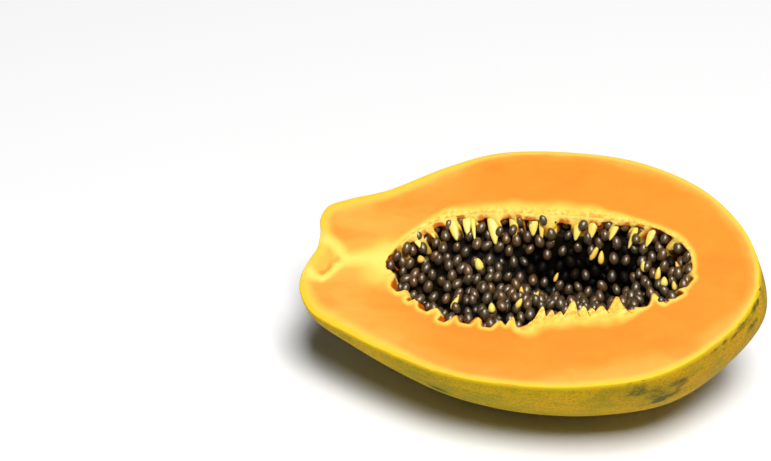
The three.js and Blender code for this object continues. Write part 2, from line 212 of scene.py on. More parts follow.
# Red-brown freckles by the blossom end, in the same way.
FRECKLES = (
    (0.856, 0.985, 0.012, 0.02), (0.875, 0.96, 0.01, 0.02), (0.838, 0.975, 0.01, 0.015),
    (0.915, 0.93, 0.01, 0.02),
)
BLOTCH_EASE = (0.0, 2.0)  # shares of their reach from which and to which they fade
STEM_SCAR = (0.0, 0.07)  # where along the fruit its cork fades
BLOSSOM_TIP = (0.985, 1.0)
UNDER_SHADE_SHAPE = 0.8  # how soon the painted shade on the underside comes in, going down
UNDER_SHADE_START = (0.05, 0.2)
UNDER_SHADE_END = (0.62, 0.85)
UNDER_SHADE_LESS = 0.5  # how much of it is lost towards the blossom
RIPE = (0.6, 0.85)  # where along the fruit the rind turns ochre
RIPE_LESS = 0.6  # how much less ripe the underside is
CUT_NEAR = 3 * MM  # how far from the cut the rind is lighter

# ---- the heap of seeds: its surface is the solids' own ----

EDGE_LEVEL = -4.2 * MM  # height of the seeds' middles along the near edge of the cavity
FAR_DROP = 1.5 * MM  # how much lower they lie along the far edge
HOLLOW_DEPTH = 24 * MM
HOLLOW_MIDDLE = 8 * MM
HOLLOW_REACH = (28 * MM, 19 * MM)  # towards the near side, towards the far side
HOLLOW_ENDS = 0.12  # share of its depth that the furrow keeps at its ends
HOLLOW_ALONG = (-36 * MM, 4 * MM, 34 * MM, 60 * MM)  # where it deepens and comes up again
HOLLOW_SHARPNESS = 1.5

# ---- how the seeds lie ----

SEEDS_DRAW, TUFTS_DRAW = 20177, 4411  # where the chance of each begins, so it falls the same every time
SEED_AIM = Vector((0.004, 0.79, 0.6))  # the way they lie: up from the near wall, down from the far one
SEED_FAN = 2  # how much they fan in towards the middle along X, for each metre away from it
SEED_SPREAD = 0.5  # how far their long axes stray
SEED_SIZES = (0.88, 1.1)  # as shares of the size that is set
SEED_SLIMNESS = (0.88, 1.0)  # their thickness as a share of their width
SEED_TAPER = (1.0, 0.2)  # width at the root as a share, and how much thinner the tip is
POCKET_FILL = 1.4  # seeds for each seed's width of half a pocket
POCKET_SEED_DEPTH = (1.4, 2.4)  # mm under a pocket's start
POCKET_SEED_IN = 0.55  # seed widths in from a pocket's end
POCKET_CLEARANCE = 0.42  # seed widths between a pocket seed's middle and the wall
WALL_TRIES = 1500  # for the seeds up the walls between the ridges
WALL_DEPTHS = (3.2 * MM, 15 * MM)
WALL_IN = (0.1, 0.5)  # seed widths in from the wall
GAP_AT = 0.3  # share of the wall's height where the gaps between ridges are looked for
GAP_CREST = 0.3  # share of RIDGE_HEIGHT under which a place is a gap
HEAP_TRIES = (7000, 5000)  # for the top layer and the one under it
HEAP_UNEVEN = 2.1 * MM
HEAP_CLEARANCE = 0.4  # seed widths between its seeds' middles and the wall
LAYER_DROP = 0.75  # seed lengths from the top layer down to the next
FAR_SINK = 1.2 * MM  # how much lower the heap lies by the far wall
FAR_SINK_ACROSS = (0.07 * LENGTH, 0.13 * LENGTH)
HOLLOW_SHADE_DEPTHS = (14 * MM, 21 * MM)  # depths under the cut between which seeds and bed take on painted shade, near black
NEAR_LIT = 18 * MM  # how much deeper the painted shade starts on the slope by the near wall, which stays lit
LIT_ACROSS = (8 * MM, 18 * MM)  # where across the cut that slope ends
BURIED = (0.55, 0.55)  # share of LAYER_DROP from which a seed is buried, and how much painted shade it gets then
SHADE_MATERIAL_FROM = (0.3, 0.8)  # amount of painted shade from which a seed takes the shaded seed material
BED_TURNS = 180
BED_RINGS = 36
BED_DROP = 4.6 * MM  # from the top seeds' middles down to the bed
BED_LUMP = (1.3 * MM, 6 * MM, 11)  # how high and how wide its lumps are, and their noise
BED_EDGE = 6  # how close to the bed's edge its lumps die away
BED_SHADE_LEAST = 0.85  # the least painted shade on the bed
BED_ROUNDS = 12  # rounds in which the bed's edge is settled on the wall

# Strands of placenta from the far wall down onto the heap: where round the cavity they start, where on the
# cut they end (shares of LENGTH) and their width in mm.
FAR_STRANDS = (
    (0.08, -0.26, 0.03, 3.0), (0.108, -0.24, 0.065, 2.4), (0.147, -0.19, 0.065, 4.4),
    (0.168, -0.168, 0.08, 3.8), (0.176, -0.15, 0.07, 2.0), (0.198, -0.105, 0.075, 4.8),
    (0.219, -0.065, 0.095, 4.0), (0.238, -0.025, 0.105, 4.6), (0.245, -0.005, 0.1, 2.4),
    (0.256, 0.02, 0.1, 4.2), (0.282, 0.07, 0.105, 4.2), (0.295, 0.105, 0.11, 4.4),
    (0.32, 0.147, 0.11, 3.2), (0.341, 0.19, 0.1, 2.8), (0.36, 0.23, 0.1, 3.4), (0.4, 0.29, 0.093, 2.4),
)
# Unripe seeds and loose strands on the heap: place (shares of LENGTH), length and width in mm, how orange.
PALE_SEEDS = (
    (-0.155, -0.115, 6.6, 2.5, 0), (-0.072, -0.118, 5.0, 3.2, 0.1), (-0.13, 0.012, 6.2, 4.0, 0.2),
    (-0.26, 0.003, 3.6, 3.6, 0.8), (-0.032, -0.018, 4.4, 2.0, 0.8), (0.01, -0.058, 6.4, 2.4, 0.5),
    (0.03, 0.056, 5.0, 1.8, 1), (0.115, 0.093, 8.0, 2.6, 0.7), (0.13, 0.088, 7.0, 2.8, 0.6),
    (0.23, 0.065, 5.6, 3.2, 0.2), (0.268, 0.03, 7.0, 2.6, 0.5), (0.285, 0.008, 5.0, 3.4, 0.3),
    (0.308, 0.052, 5.4, 1.8, 0.8), (0.308, 0.0, 4.6, 2.2, 0.7), (-0.015, -0.098, 5.0, 2.6, 0.6),
)
STRAND_START = 2.2 * MM  # how deep under the cut the far strands start
STRAND_OUT = 2.6 * MM  # how far outside the cavity's edge they start
STRAND_FLAT = 0.45  # their thickness as a share of their width
STRAND_LIFT = 1.6 * MM  # how far over the seeds' middles strands and pale seeds lie
STRAND_ORANGE = (0, 0.5)
PALE_LIFT = 0.4 * MM  # how much further up the pale seeds lie
PALE_SPREAD = 0.5  # how far their long axes stray along X
TUFT_TAPER = (1.4, 0.7)  # width at the root as a share, and how much thinner the tip is

# ---- the stage ----

FLOOR_SIZE = 12
FLOOR_COLOUR = (0.92, 0.92, 0.92, 1)
KEY_PLACE = Vector((0.5, -0.99, 2.78))
KEY_AIM = Vector((0, 0, 0.04))
KEY_SIZE = 1.08
SENSOR = 36  # width of the camera's sensor in mm
CLIP = (0.05, 20)  # the nearest and the farthest that the camera sees


# ---- the fruit's form, in its own frame: X stem to blossom, Y across the cut, Z out of the cut ----


def smooth(value, low, high):
    share = np.clip((np.asarray(value, float) - low) / (high - low), 0, 1)
    return share * share * (3 - 2 * share)


def window(value, start, full, last, end):
    """0 up to start, 1 from full to last, and 0 again from end."""
    return smooth(value, start, full) * (1 - smooth(value, last, end))


def line_through(points, closed=False):
    """A centripetal Catmull-Rom line through the points, as a function of shares from 0 to 1."""
    knots = np.array([tuple(p) + (0,) * (3 - len(p)) for p in points], float)
    count = len(knots)
    if closed:
        padded = np.vstack((knots[-1], knots, knots[:2]))
    else:
        padded = np.vstack((2 * knots[0] - knots[1], knots, 2 * knots[-1] - knots[-2]))
    spans = count if closed else count - 1

    def at(share):
        place = np.atleast_1d(np.asarray(share, float)) * spans
        start = np.clip(np.floor(place).astype(int), 0, spans - 1)
        t = (place - start)[:, None]
        p0, p1, p2, p3 = (padded[start + k] for k in range(4))
        pairs = ((p0, p1), (p1, p2), (p2, p3))
        g0, g1, g2 = (np.sqrt(np.linalg.norm(b - a, axis=1))[:, None] for a, b in pairs)
        out = ((p1 - p0) / g0 - (p2 - p0) / (g0 + g1) + (p2 - p1) / g1) * g1
        back = ((p2 - p1) / g1 - (p3 - p1) / (g1 + g2) + (p3 - p2) / g2) * g1
        bend, twist = 3 * (p2 - p1) - 2 * out - back, 2 * (p1 - p2) + out + back
        return p1 + out * t + bend * t**2 + twist * t**3

    return at


def line_on_cut(points, closed=False):
    return line_through([[share * LENGTH for share in point] for point in points], closed)


far_edge = line_on_cut(FAR_EDGE)
near_edge = line_on_cut(NEAR_EDGE)
keel = line_through([(x * LENGTH, 0, -down * HALF_DEPTH) for x, down in KEEL])
cavity_edge = line_on_cut(CAVITY_EDGE, closed=True)


def rind_frame(along):
    """Middle of the cut, half its width, and the way down to the keel, at shares along the fruit."""
    far, near, low = far_edge(along), near_edge(along), keel(along)
    middle = (far + near) / 2
    down = np.column_stack((low[:, 0] - middle[:, 0], np.zeros(len(low)), low[:, 2]))
    return middle, (far - near) / 2, down


def edge_round(down):
    """How far the rounded cut edge of the rind reaches: less where the fruit runs out at its poles."""
    return np.minimum(SKIN_ROUND, SKIN_ROUND_MOST * np.linalg.norm(down, axis=1))


def rind_points(along, turn):
    """Points of the rind. turn 0 and 1 lie just under the cut, where its rounded edge ends."""
    middle, side, down = rind_frame(along)
    low = edge_round(down)
    deep = np.maximum(np.linalg.norm(down, axis=1), TINY)
    first = np.arcsin(np.clip(low / deep, 0, SKIN_ROUND_MOST))
    angle = (first + (math.pi - 2 * first) * turn)[:, None]
    points = middle + side * np.cos(angle) + down * np.sin(angle)
    under_cut = middle + side * (1 - 2 * turn)[:, None] - np.outer(low, (0, 0, 1))
    return np.where(((turn == 0) | (turn == 1))[:, None], under_cut, points)


def ridge_height(round_share, down):
    """How far a placenta ridge stands in from the smooth cavity wall."""
    turn = round_share * 2 * np.pi
    stray, stray_waves = RIDGE_WANDER
    phase = round_share * RIDGE_COUNT + stray * np.sin(turn * stray_waves) + RIDGE_SLANT * down
    crest = np.abs(np.sin(phase * np.pi)) ** RIDGE_SHARPNESS
    share, wave, slow_wave, start = RIDGE_UNEVEN
    uneven = 1 - share + share * np.sin(turn * wave + start) * np.cos(turn * slow_wave)
    rise = RIDGE_AT_RIM + (1 - RIDGE_AT_RIM) * smooth(down, 0, RIDGE_RISE)
    return RIDGE_HEIGHT * crest * uneven * rise * (1 - smooth(down, 0, RIDGE_FADE))


def edge_distances(round_share, places):
    """Distances in mm from shares round the cavity's edge to places on it: a row for each share."""
    at, to = cavity_edge(round_share)[:, None, :2], cavity_edge(places)[None, :, :2]
    return np.linalg.norm(at - to, axis=2) / MM


def pocket_shares(round_share, depth, above=0.0):
    """How much of each pocket there is at places round the cavity and depths under the cut, from 0 to 1.

    above lets the pockets start that many mm higher, for the orange over their mouths, which is partly
    painted shade.
    """
    away = edge_distances(round_share, POCKETS[:, 0]) / POCKETS[:, 1]
    depth = np.broadcast_to(depth, (len(away),))[:, None]
    ease = POCKET_START + MOUTH_ORANGE_EASE * above
    started = smooth(depth / MM - POCKETS[:, 3] + above, -ease, ease)
    return (1 - smooth(away, *POCKET_SIDES)) * started * (1 - smooth(depth, *POCKET_FADE))


def wall_offset(round_share, depth):
    """How far the wall lies outside its smooth form: out in the pockets, in where placenta stands."""
    turn = np.mod(round_share, 1)
    shares = pocket_shares(turn, depth)
    out = (shares * POCKETS[:, 2] * MM).max(axis=1)
    leaning = window(turn, *LINING_TURNS) * (1 - shares.max(axis=1)) * np.minimum(1, depth / LINING_DEPTH)
    out = out - LINING_LEAN * leaning * smooth(depth, -LINING_DEPTH, LINING_DEPTH)
    out = out + NEAR_WIDENING * window(turn, *NEAR_WIDE_TURNS)
    at = cavity_edge(turn) / LENGTH
    bank = window(at[:, 0], *BANK_ALONG) * (at[:, 1] < 0)
    return out - BANK * bank * (1 - smooth(depth, *BANK_FALL))


def flap_reach(round_share, depth):
    """How far the flaps of placenta reach across the cavity from its near rim."""
    away = edge_distances(np.mod(round_share, 1), FLAPS[:, 0])
    flaps = ((1 - smooth(away, 0, FLAPS[:, 2])) * FLAPS[:, 1] * MM).max(axis=1)
    return flaps * (1 - smooth(depth, *BANK_FALL))


CAVITY_SHARES = np.linspace(0, 1, CAVITY_SAMPLES)
CAVITY_RING = cavity_edge(CAVITY_SHARES)[:, :2] - CAVITY_MIDDLE
CAVITY_ANGLES = np.unwrap(np.arctan2(CAVITY_RING[:, 1], CAVITY_RING[:, 0]))
CAVITY_ALONG, CAVITY_ACROSS = ((line.min(), line.max()) for line in (CAVITY_RING + CAVITY_MIDDLE).T)


def cavity_share(angle):
    """Where round the cavity's edge a direction from its middle points, from 0 to 1."""
    last = CAVITY_ANGLES[-1]
    turned = last + np.mod(np.asarray(angle) - last, 2 * np.pi)
    return np.interp(turned, CAVITY_ANGLES[::-1], CAVITY_SHARES[::-1])


def cavity_reach(angle):
    """Distance from the cavity's middle to its edge, in a direction on the cut."""
    ring = cavity_edge(cavity_share(angle))[:, :2] - CAVITY_MIDDLE
    return np.linalg.norm(ring, axis=1)


def wall_reach(angle, depth):
    """Distance from the cavity's middle to its smooth wall, in a direction and at a depth under the cut."""
    return cavity_reach(angle) * np.cos(np.arcsin(np.clip(depth / CAVITY_DEPTH, 0, 1)))


def rim_place(turn):
    """A place on the cavity's edge and the way out there from the cavity's middle, on the cut."""
    edge = cavity_edge(turn)[0, :2]
    return edge, (edge - CAVITY_MIDDLE) / np.linalg.norm(edge - CAVITY_MIDDLE)


def seed_level(x, y):
    """Height of the top seeds' middles at a place on the cut."""
    across = y - HOLLOW_MIDDLE
    reach = np.where(across > 0, HOLLOW_REACH[1], HOLLOW_REACH[0])
    dip = np.cos(np.minimum(1, np.abs(across) / reach) * np.pi / 2) ** HOLLOW_SHARPNESS
    along = HOLLOW_ENDS + (1 - HOLLOW_ENDS) * window(x, *HOLLOW_ALONG)
    return EDGE_LEVEL - FAR_DROP * smooth(y, *CAVITY_ACROSS) - HOLLOW_DEPTH * dip * along


def rest_matrix():
    """From the fruit's own frame to where it rests."""
    turned = Matrix.Rotation(-NOSE_UP, 3, "Y") @ Matrix.Rotation(LEAN, 3, "X")
    steps, turns = SOLID_STEPS
    along, turn = (a.ravel() for a in np.meshgrid(np.arange(steps + 1) / steps, np.arange(turns + 1) / turns))
    middle, side, down = rind_frame(along)
    angle = (turn * np.pi)[:, None]
    points = (middle + side * np.cos(angle) + down * np.sin(angle)) @ np.array(turned).T
    low, high = points.min(0), points.max(0)
    shift = Vector((-(low[0] + high[0]) / 2, -(low[1] + high[1]) / 2, -low[2] - REST_DENT))
    return Matrix.Translation(shift) @ turned.to_4x4()


REST = rest_matrix()


def rested(points):
    """Points of the fruit's own frame, where it rests."""
    matrix = np.array(REST)
    return points @ matrix[:3, :3].T + matrix[:3, 3]


# ---- making meshes ----


def only(obj):
    """Selects this object alone and makes it active."""
    bpy.ops.object.select_all(action="DESELECT")
    obj.select_set(True)
    bpy.context.view_layer.objects.active = obj


def shaped_grid(name, columns, rows, place):
    """A grid primitive whose corners place() moves, from their column and row numbers."""
    bpy.ops.object.select_all(action="DESELECT")
    bpy.ops.mesh.primitive_grid_add(x_subdivisions=columns, y_subdivisions=rows, size=2)
    made = bpy.context.object
    made.name = name
    corners = np.zeros(len(made.data.vertices) * 3)
    made.data.vertices.foreach_get("co", corners)
    corners = corners.reshape(-1, 3)
    column = np.rint((corners[:, 0] + 1) / 2 * columns).astype(int)
    row = np.rint((corners[:, 1] + 1) / 2 * rows).astype(int)
    points, values = place(column, row)
    made.data.vertices.foreach_set("co", points.astype(np.float32).ravel())
    for key, value in values.items():
        set_values(made, key, value)
    made.data.update()
    return made


def egg(width, length, taper, base):
    """A smooth egg along Z, thinner at its tip; base is the share of its length under its origin."""
    bpy.ops.object.select_all(action="DESELECT")
    bpy.ops.mesh.primitive_ico_sphere_add(subdivisions=2, radius=0.5)
    made = bpy.context.object
    for corner in made.data.vertices:
        rise = corner.co.z + 0.5
        wide = width * (taper[0] - taper[1] * rise)
        corner.co = (corner.co.x * wide, corner.co.y * wide, (rise - base) * length)
    only(made)
    bpy.ops.object.shade_smooth()
    return made


def set_values(obj, key, values):
    """Stores a number for each corner of the mesh, which materials read by this name."""
    attribute = obj.data.attributes.get(key) or obj.data.attributes.new(key, "FLOAT", "POINT")
    attribute.data.foreach_set("value", np.asarray(values, np.float32))


def set_numbers(obj, numbers):
    """Gives each face the number of its material, or all of them one number."""
    every = np.full(len(obj.data.polygons), numbers, np.int32)
    obj.data.polygons.foreach_set("material_index", every)


def add_materials(obj, materials):
    for material in materials:
        obj.data.materials.append(material)


def joined(name, objects):
    """One object made of several. Numbers that one of their meshes doesn't store are 0 there."""
    bpy.ops.object.select_all(action="DESELECT")
    for obj in objects:
        obj.select_set(True)
    bpy.context.view_layer.objects.active = objects[0]
    bpy.ops.object.join()
    made = bpy.context.object
    made.name = name
    made.data.name = name
    return made


def clean(obj):
    """Merges corners that lie together, turns every face outwards and shades them smoothly."""
    only(obj)
    bpy.ops.object.mode_set(mode="EDIT")
    bpy.ops.mesh.select_all(action="SELECT")
    bpy.ops.mesh.remove_doubles(threshold=MERGE)
    bpy.ops.mesh.dissolve_degenerate(threshold=MERGE)
    bpy.ops.mesh.select_all(action="SELECT")
    bpy.ops.mesh.normals_make_consistent(inside=False)
    bpy.ops.object.mode_set(mode="OBJECT")
    only(obj)
    bpy.ops.object.shade_smooth()


def dress(obj, node=None):
    """Hangs a finished piece on its body and hides the solid that it stands for."""
    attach(obj, "root")
    if node:
        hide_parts(node)


def bumps(points, scale, seed):
    """Smooth noise from -1 to 1 at each point; scale is the size of its bumps in metres."""
    offset = Vector([seed * shift for shift in NOISE_SHIFT])
    return np.array([noise.noise(Vector(p) / scale + offset) for p in points])


# ---- material building ----


class Tree:
    """Adds nodes to a material or a node group, and joins their sockets."""

    def __init__(self, tree):
        self.tree = tree

    def put(self, socket, value):
        """Joins an output to the socket, or sets it to a constant."""
        if isinstance(value, bpy.types.NodeSocket):
            self.tree.links.new(value, socket)
        else:
            socket.default_value = value

    def add(self, kind, inputs=None, **settings):
        made = self.tree.nodes.new(kind)
        for key, value in settings.items():
            setattr(made, key, value)
        for key, value in (inputs or {}).items():
            self.put(made.inputs[key], value)
        return made

    def place(self):
        """The place on the object, which a material's patterns follow."""
        return self.add("ShaderNodeTexCoord").outputs["Object"]

    def value(self, name):
        """A number stored on the mesh."""
        return self.add("ShaderNodeAttribute", attribute_name=name).outputs["Fac"]

    def maths(self, operation, a, b):
        return self.add("ShaderNodeMath", {0: a, 1: b}, operation=operation).outputs[0]

    def times(self, a, b):
        return self.maths("MULTIPLY", a, b)

    def ragged(self, name, pattern, amount):
        """A number stored on the mesh, moved up and down by a pattern that runs from 0 to 1."""
        wander = self.maths("SUBTRACT", pattern, 0.5)
        return self.maths("ADD", self.value(name), self.times(wander, amount))

    def share(self, value, low, high, ease="SMOOTHSTEP"):
        """0 where the value is at low, 1 where it is at high."""
        made = self.add("ShaderNodeMapRange", {"Value": value, "From Min": low, "From Max": high})
        made.interpolation_type = ease
        return made.outputs["Result"]

    def between(self, share, low, high):
        """A number that runs from low to high as the share does from 0 to 1."""
        made = self.add("ShaderNodeMapRange", {"Value": share, "To Min": low, "To Max": high})
        return made.outputs["Result"]

    def mix(self, share, a, b, blend="MIX"):
        made = self.add("ShaderNodeMix", data_type="RGBA", blend_type=blend)
        for key, value in (("Factor", share), ("A", a), ("B", b)):
            self.put(next(s for s in made.inputs if s.name == key and s.enabled), value)
        return next(s for s in made.outputs if s.enabled)

    def coats(self, body, rows):
        """Lays colours over one another: each row is a colour, where it lies, and how much of it at most."""
        for tint, share, most in rows:
            body = self.mix(share if most == 1 else self.times(share, most), body, tint)
        return body

    def noise(self, place, scale, detail=3.0, rough=0.55, distortion=0.0):
        """Noise from 0 to 1, of scale bumps a metre."""
        made = self.add(
            "ShaderNodeTexNoise",
            {"Vector": place, "Scale": scale, "Detail": detail, "Roughness": rough, "Distortion": distortion},
        )
        return made.outputs["Fac"]

    def cells(self, place, scale):
        """Distance from the middle of each of scale cells a metre."""
        return self.add("ShaderNodeTexVoronoi", {"Vector": place, "Scale": scale}).outputs["Distance"]

    def drawn_out(self, place, along, across):
        """A place that makes a pattern longer along X or across it: the smaller the number, the longer."""
        made = self.add("ShaderNodeMapping", {"Vector": place, "Scale": (along, across, across)})
        return made.outputs["Vector"]

    def bump(self, height, strength, distance):
        made = self.add("ShaderNodeBump", {"Height": height, "Strength": strength, "Distance": distance})
        return made.outputs["Normal"]

    def shade(self, inputs):
        """Sets the shader's inputs, each to a constant or to what varies over the surface."""
        shader = next(n for n in self.tree.nodes if n.type == "BSDF_PRINCIPLED")
        for key, value in inputs.items():
            self.put(shader.inputs[key], value)


def colour(*screen):
    """A colour given as 0 to 255 on a screen, as the light values that materials take."""
    light = [((c / 255 + 0.055) / 1.055) ** 2.4 if c > 10 else c / 255 / 12.92 for c in screen]
    return (*light, 1)


def new_material(name):
    """A material, and the means to add its nodes."""
    material = bpy.data.materials.new(name)
    material.use_nodes = True
    return material, Tree(material.node_tree)


def moist_grain_group():
    """Fine wet grain of soft fruit tissue: a slow tone, a fine tone and a height."""
    found = bpy.data.node_groups.get("moist grain")
    if found:
        return found
    group = bpy.data.node_groups.new("moist grain", "ShaderNodeTree")
    group.interface.new_socket("Place", in_out="INPUT", socket_type="NodeSocketVector")
    for name, default in (("Patch Size", 0.014), ("Grain Size", 0.0011)):
        socket = group.interface.new_socket(name, in_out="INPUT", socket_type="NodeSocketFloat")
        socket.default_value = default
    for name in ("Patches", "Grain", "Height"):
        group.interface.new_socket(name, in_out="OUTPUT", socket_type="NodeSocketFloat")
    tree = Tree(group)
    given = tree.add("NodeGroupInput").outputs
    patch = tree.noise(given["Place"], tree.maths("DIVIDE", 1.0, given["Patch Size"]), detail=2.0)
    fine_scale = tree.maths("DIVIDE", 1.0, given["Grain Size"])
    grain = tree.noise(given["Place"], fine_scale, detail=4.0, rough=0.6)
    pits = tree.cells(given["Place"], fine_scale)
    height = tree.maths("ADD", grain, tree.times(pits, 0.35))
    tree.add("NodeGroupOutput", {"Patches": patch, "Grain": grain, "Height": height})
    return group


def moist_grain(tree, place, patch, grain):
    """The moist grain at a place, with patches and grain of these sizes in metres."""
    inputs = {"Place": place, "Patch Size": patch, "Grain Size": grain}
    return tree.add("ShaderNodeGroup", inputs, node_tree=moist_grain_group()).outputs


def flesh_material(colours):
    """The cut flesh: yellow under the rind, then peach, deep orange, and pale by the cavity and the stem."""
    material, tree = new_material("papaya flesh")
    place = tree.place()
    grain = moist_grain(tree, place, patch=0.017, grain=0.0013)
    band = tree.ragged("band", grain["Patches"], 0.9)
    rim = tree.ragged("rim", grain["Patches"], 0.5)
    lining = tree.ragged("lining", grain["Patches"], 1.1)
    fork = tree.ragged("fork", grain["Patches"], 0.5)
    cloud = tree.noise(tree.drawn_out(place, 0.45, 1.0), scale=62.0, detail=3.0, rough=0.5, distortion=0.3)
    fibre = tree.noise(tree.drawn_out(place, 1.0, 0.3), scale=340.0, detail=4.0, rough=0.65)
    strand = tree.coats(colours.lining, ((colours.thread, tree.share(fibre, 0.4, 0.62), 0.85),))
    fleck = tree.share(tree.noise(place, scale=460.0, detail=3.0, rough=0.6), 0.48, 0.6)
    body = tree.coats(colours.flesh, (
        (colours.flesh_pale, tree.share(band, 1.15, 0.15), 1),
        (colours.flesh_pale, tree.value("neck"), 1),
        (colours.flesh_warm, tree.share(cloud, 0.42, 0.72), 0.55),
        (colours.rim_soft, tree.share(rim, 1.35, 0.35), 1),
        (colours.rim, tree.share(rim, 0.75, 0.0), 1),
        (colours.rim_soft, tree.share(lining, 1.5, 0.5), 1),
        (strand, tree.share(lining, 0.95, 0.1), 1),
        (colours.flesh_warm, tree.times(fleck, tree.share(lining, 0.75, 0.2)), 0.55),
        (colours.rim_soft, tree.share(fork, 0.0, 0.6), 0.8),
        (colours.lining, tree.share(fork, 0.2, 1.0), 0.9),
        (colours.core, tree.value("core"), 0.8),
        (colours.flesh_warm, tree.value("spot"), 0.5),
        # the pockets' orange on the cut: partly the flesh's colour, partly painted shade
        (colours.pocket_orange_and_shade, tree.share(tree.value("pocket"), 0.1, 0.8), 0.85),
        (colours.rind_edge, tree.share(tree.value("edge"), 0.35, 0.0), 1),
    ))
    tone = tree.times(tree.share(grain["Grain"], 0.35, 0.7), 0.09)
    wet = tree.share(grain["Grain"], 0.3, 0.7, "LINEAR")
    tree.shade({
        "Base Color": tree.mix(tone, body, (1, 0.8, 0.5, 1), "MULTIPLY"),
        "Normal": tree.bump(grain["Height"], strength=0.16, distance=0.0004),
        "Roughness": tree.between(wet, 0.42, 0.6),
        "Specular IOR Level": 0.22,
        "Subsurface Weight": 0.12,
        "Subsurface Radius": (1.0, 0.4, 0.12),
        "Subsurface Scale": 0.003,
    })
    return material


def wall_material(colours):
    """The cavity wall: pale yellow, with pockets that go from orange over their mouths to dark brown. The
    orange is partly painted shade, and the dark brown deep in the pockets and down the wall is painted shade.
    """
    material, tree = new_material("papaya cavity wall")
    grain = moist_grain(tree, tree.place(), patch=0.005, grain=0.0009)
    pocket = tree.ragged("pocket", grain["Patches"], 0.35)
    depth = tree.ragged("depth", grain["Patches"], 4.0)
    mouth = tree.ragged("mouth", grain["Patches"], 2.4)
    # gaps: orange in the recesses between the ridges, partly painted shade
    gaps = tree.times(tree.share(tree.value("crest"), 0.3, 0.05), tree.share(depth, 3.5, 8.0))
    body = tree.coats(colours.lining, (
        (colours.thread, tree.share(depth, 0.5, 5.5), 1),
        (colours.pocket_orange_and_shade, gaps, 0.7),
        # the orange over the pockets' mouths: partly the flesh's colour, partly painted shade
        (colours.pocket_orange_and_shade, tree.share(mouth, 0.1, 1.0), 0.95),
        (colours.pocket_orange_and_shade, tree.share(pocket, 0.08, 0.4), 1),
        # painted shade: dark brown deep in the pockets and further down the wall
        (colours.pocket_shade, tree.times(tree.share(pocket, 0.4, 0.85), tree.share(depth, 4.0, 8.5)), 1),
        (colours.pocket_shade, tree.share(depth, 9.0, 16.0), 1),
    ))
    tree.shade({
        "Base Color": body,
        "Normal": tree.bump(grain["Height"], strength=0.5, distance=0.0006),
        "Roughness": 0.42,
        "Specular IOR Level": 0.35,
        "Subsurface Weight": 0.1,
        "Subsurface Radius": (1.0, 0.45, 0.15),
        "Subsurface Scale": 0.002,
    })
    return material


def rind_material(colours):
    """The waxy rind: mottled yellow and olive, with bruises, specks and freckles, a corky stem scar, and
    painted shade darkening its underside.
    """
    material, tree = new_material("papaya rind")
    place = tree.place()
    drawn = tree.drawn_out(place, 0.6, 1.0)
    drift = tree.noise(drawn, scale=30.0, detail=4.0, rough=0.6, distortion=0.5)
    mottle = tree.noise(drawn, scale=150.0, detail=5.0, rough=0.7, distortion=0.3)
    fine = tree.noise(place, scale=900.0, detail=3.0, rough=0.6)
    dots = tree.share(tree.cells(drawn, scale=210.0), 0.16, 0.07)
    specks = tree.times(dots, tree.share(tree.noise(place, scale=60.0), 0.54, 0.62))
    height = tree.maths("ADD", mottle, tree.times(fine, 0.25))
    body = tree.coats(colours.rind_green, (
        (colours.rind, tree.share(drift, 0.36, 0.66), 1),
        (colours.rind_warm, tree.share(mottle, 0.45, 0.66), 0.55),
        (colours.rind_warm, tree.value("ripe"), 0.75),
        (colours.rind_green, tree.share(mottle, 0.52, 0.34), 0.7),
        (colours.rind_dark, tree.share(fine, 0.46, 0.62), 0.45),
        # painted shade: the underside darker towards the floor
        (colours.rind_under_shade, tree.share(tree.ragged("low", drift, 0.8), 0.35, 1.0), 0.75),
        (colours.rind_edge, tree.share(tree.value("cut_near"), 1.0, 0.0), 1),
        (colours.bruise, tree.share(tree.ragged("bruise", mottle, 2.6), 0.4, 1.15), 0.9),
        (colours.speck, tree.share(tree.ragged("freckle", mottle, 2.0), 0.55, 1.1), 0.8),
        (colours.speck, specks, 0.75),
        (colours.cork, tree.share(tree.ragged("cork", mottle, 0.9), 0.4, 0.62), 1),
    ))
    tree.shade({
        "Base Color": body,
        "Normal": tree.bump(height, strength=0.45, distance=0.0009),
        "Roughness": tree.between(mottle, 0.45, 0.65),
        "Specular IOR Level": 0.15,
        "IOR": 1.2,
    })
    return material


def seed_material(colours):
    """Wet black-brown seed skins with fine wrinkles under a broad soft sheen, with painted shade near black
    in the hollow.
    """
    material, tree = new_material("papaya seed")
    grain = moist_grain(tree, tree.place(), patch=0.004, grain=0.0008)
    body = tree.coats(colours.seed, (
        (colours.seed_brown, tree.value("tone"), 1),
        (colours.seed_grey, tree.share(grain["Grain"], 0.45, 0.75), 0.6),
        # painted shade: seeds turn near black in the hollow and under the heap's top layer
        (colours.seed_shade, tree.value("deep"), 1),
    ))
    tree.shade({
        "Base Color": body,
        # the coat thins with the painted shade, so shaded seeds lose their gloss
        "Coat Weight": tree.between(tree.value("deep"), 0.8, 0.0),
        "Normal": tree.bump(grain["Height"], strength=0.4, distance=0.0004),
        "Roughness": 0.45,
        "Specular IOR Level": 1.0,
        "IOR": 1.6,
        "Coat Roughness": 0.3,
        "Specular Tint": (1, 0.93, 0.8, 1),
        "Coat Tint": (1, 0.96, 0.88, 1),
    })
    return material


def shaded_seed_material(colours):
    """Seeds and the dark bed under them, with painted shade near black, in the dark of the hollow."""
    material, tree = new_material("papaya shaded seed")
    grain = moist_grain(tree, tree.place(), patch=0.004, grain=0.0008)
    body = tree.coats(colours.seed_shade, (
        (colours.seed, grain["Grain"], 1),
        (colours.seed_shade, tree.value("deep"), 1),
    ))
    tree.shade({
        "Base Color": body,
        "Normal": tree.bump(grain["Height"], strength=0.4, distance=0.0004),
        "Roughness": 0.5,
        "Specular IOR Level": 0.08,
    })
    return material


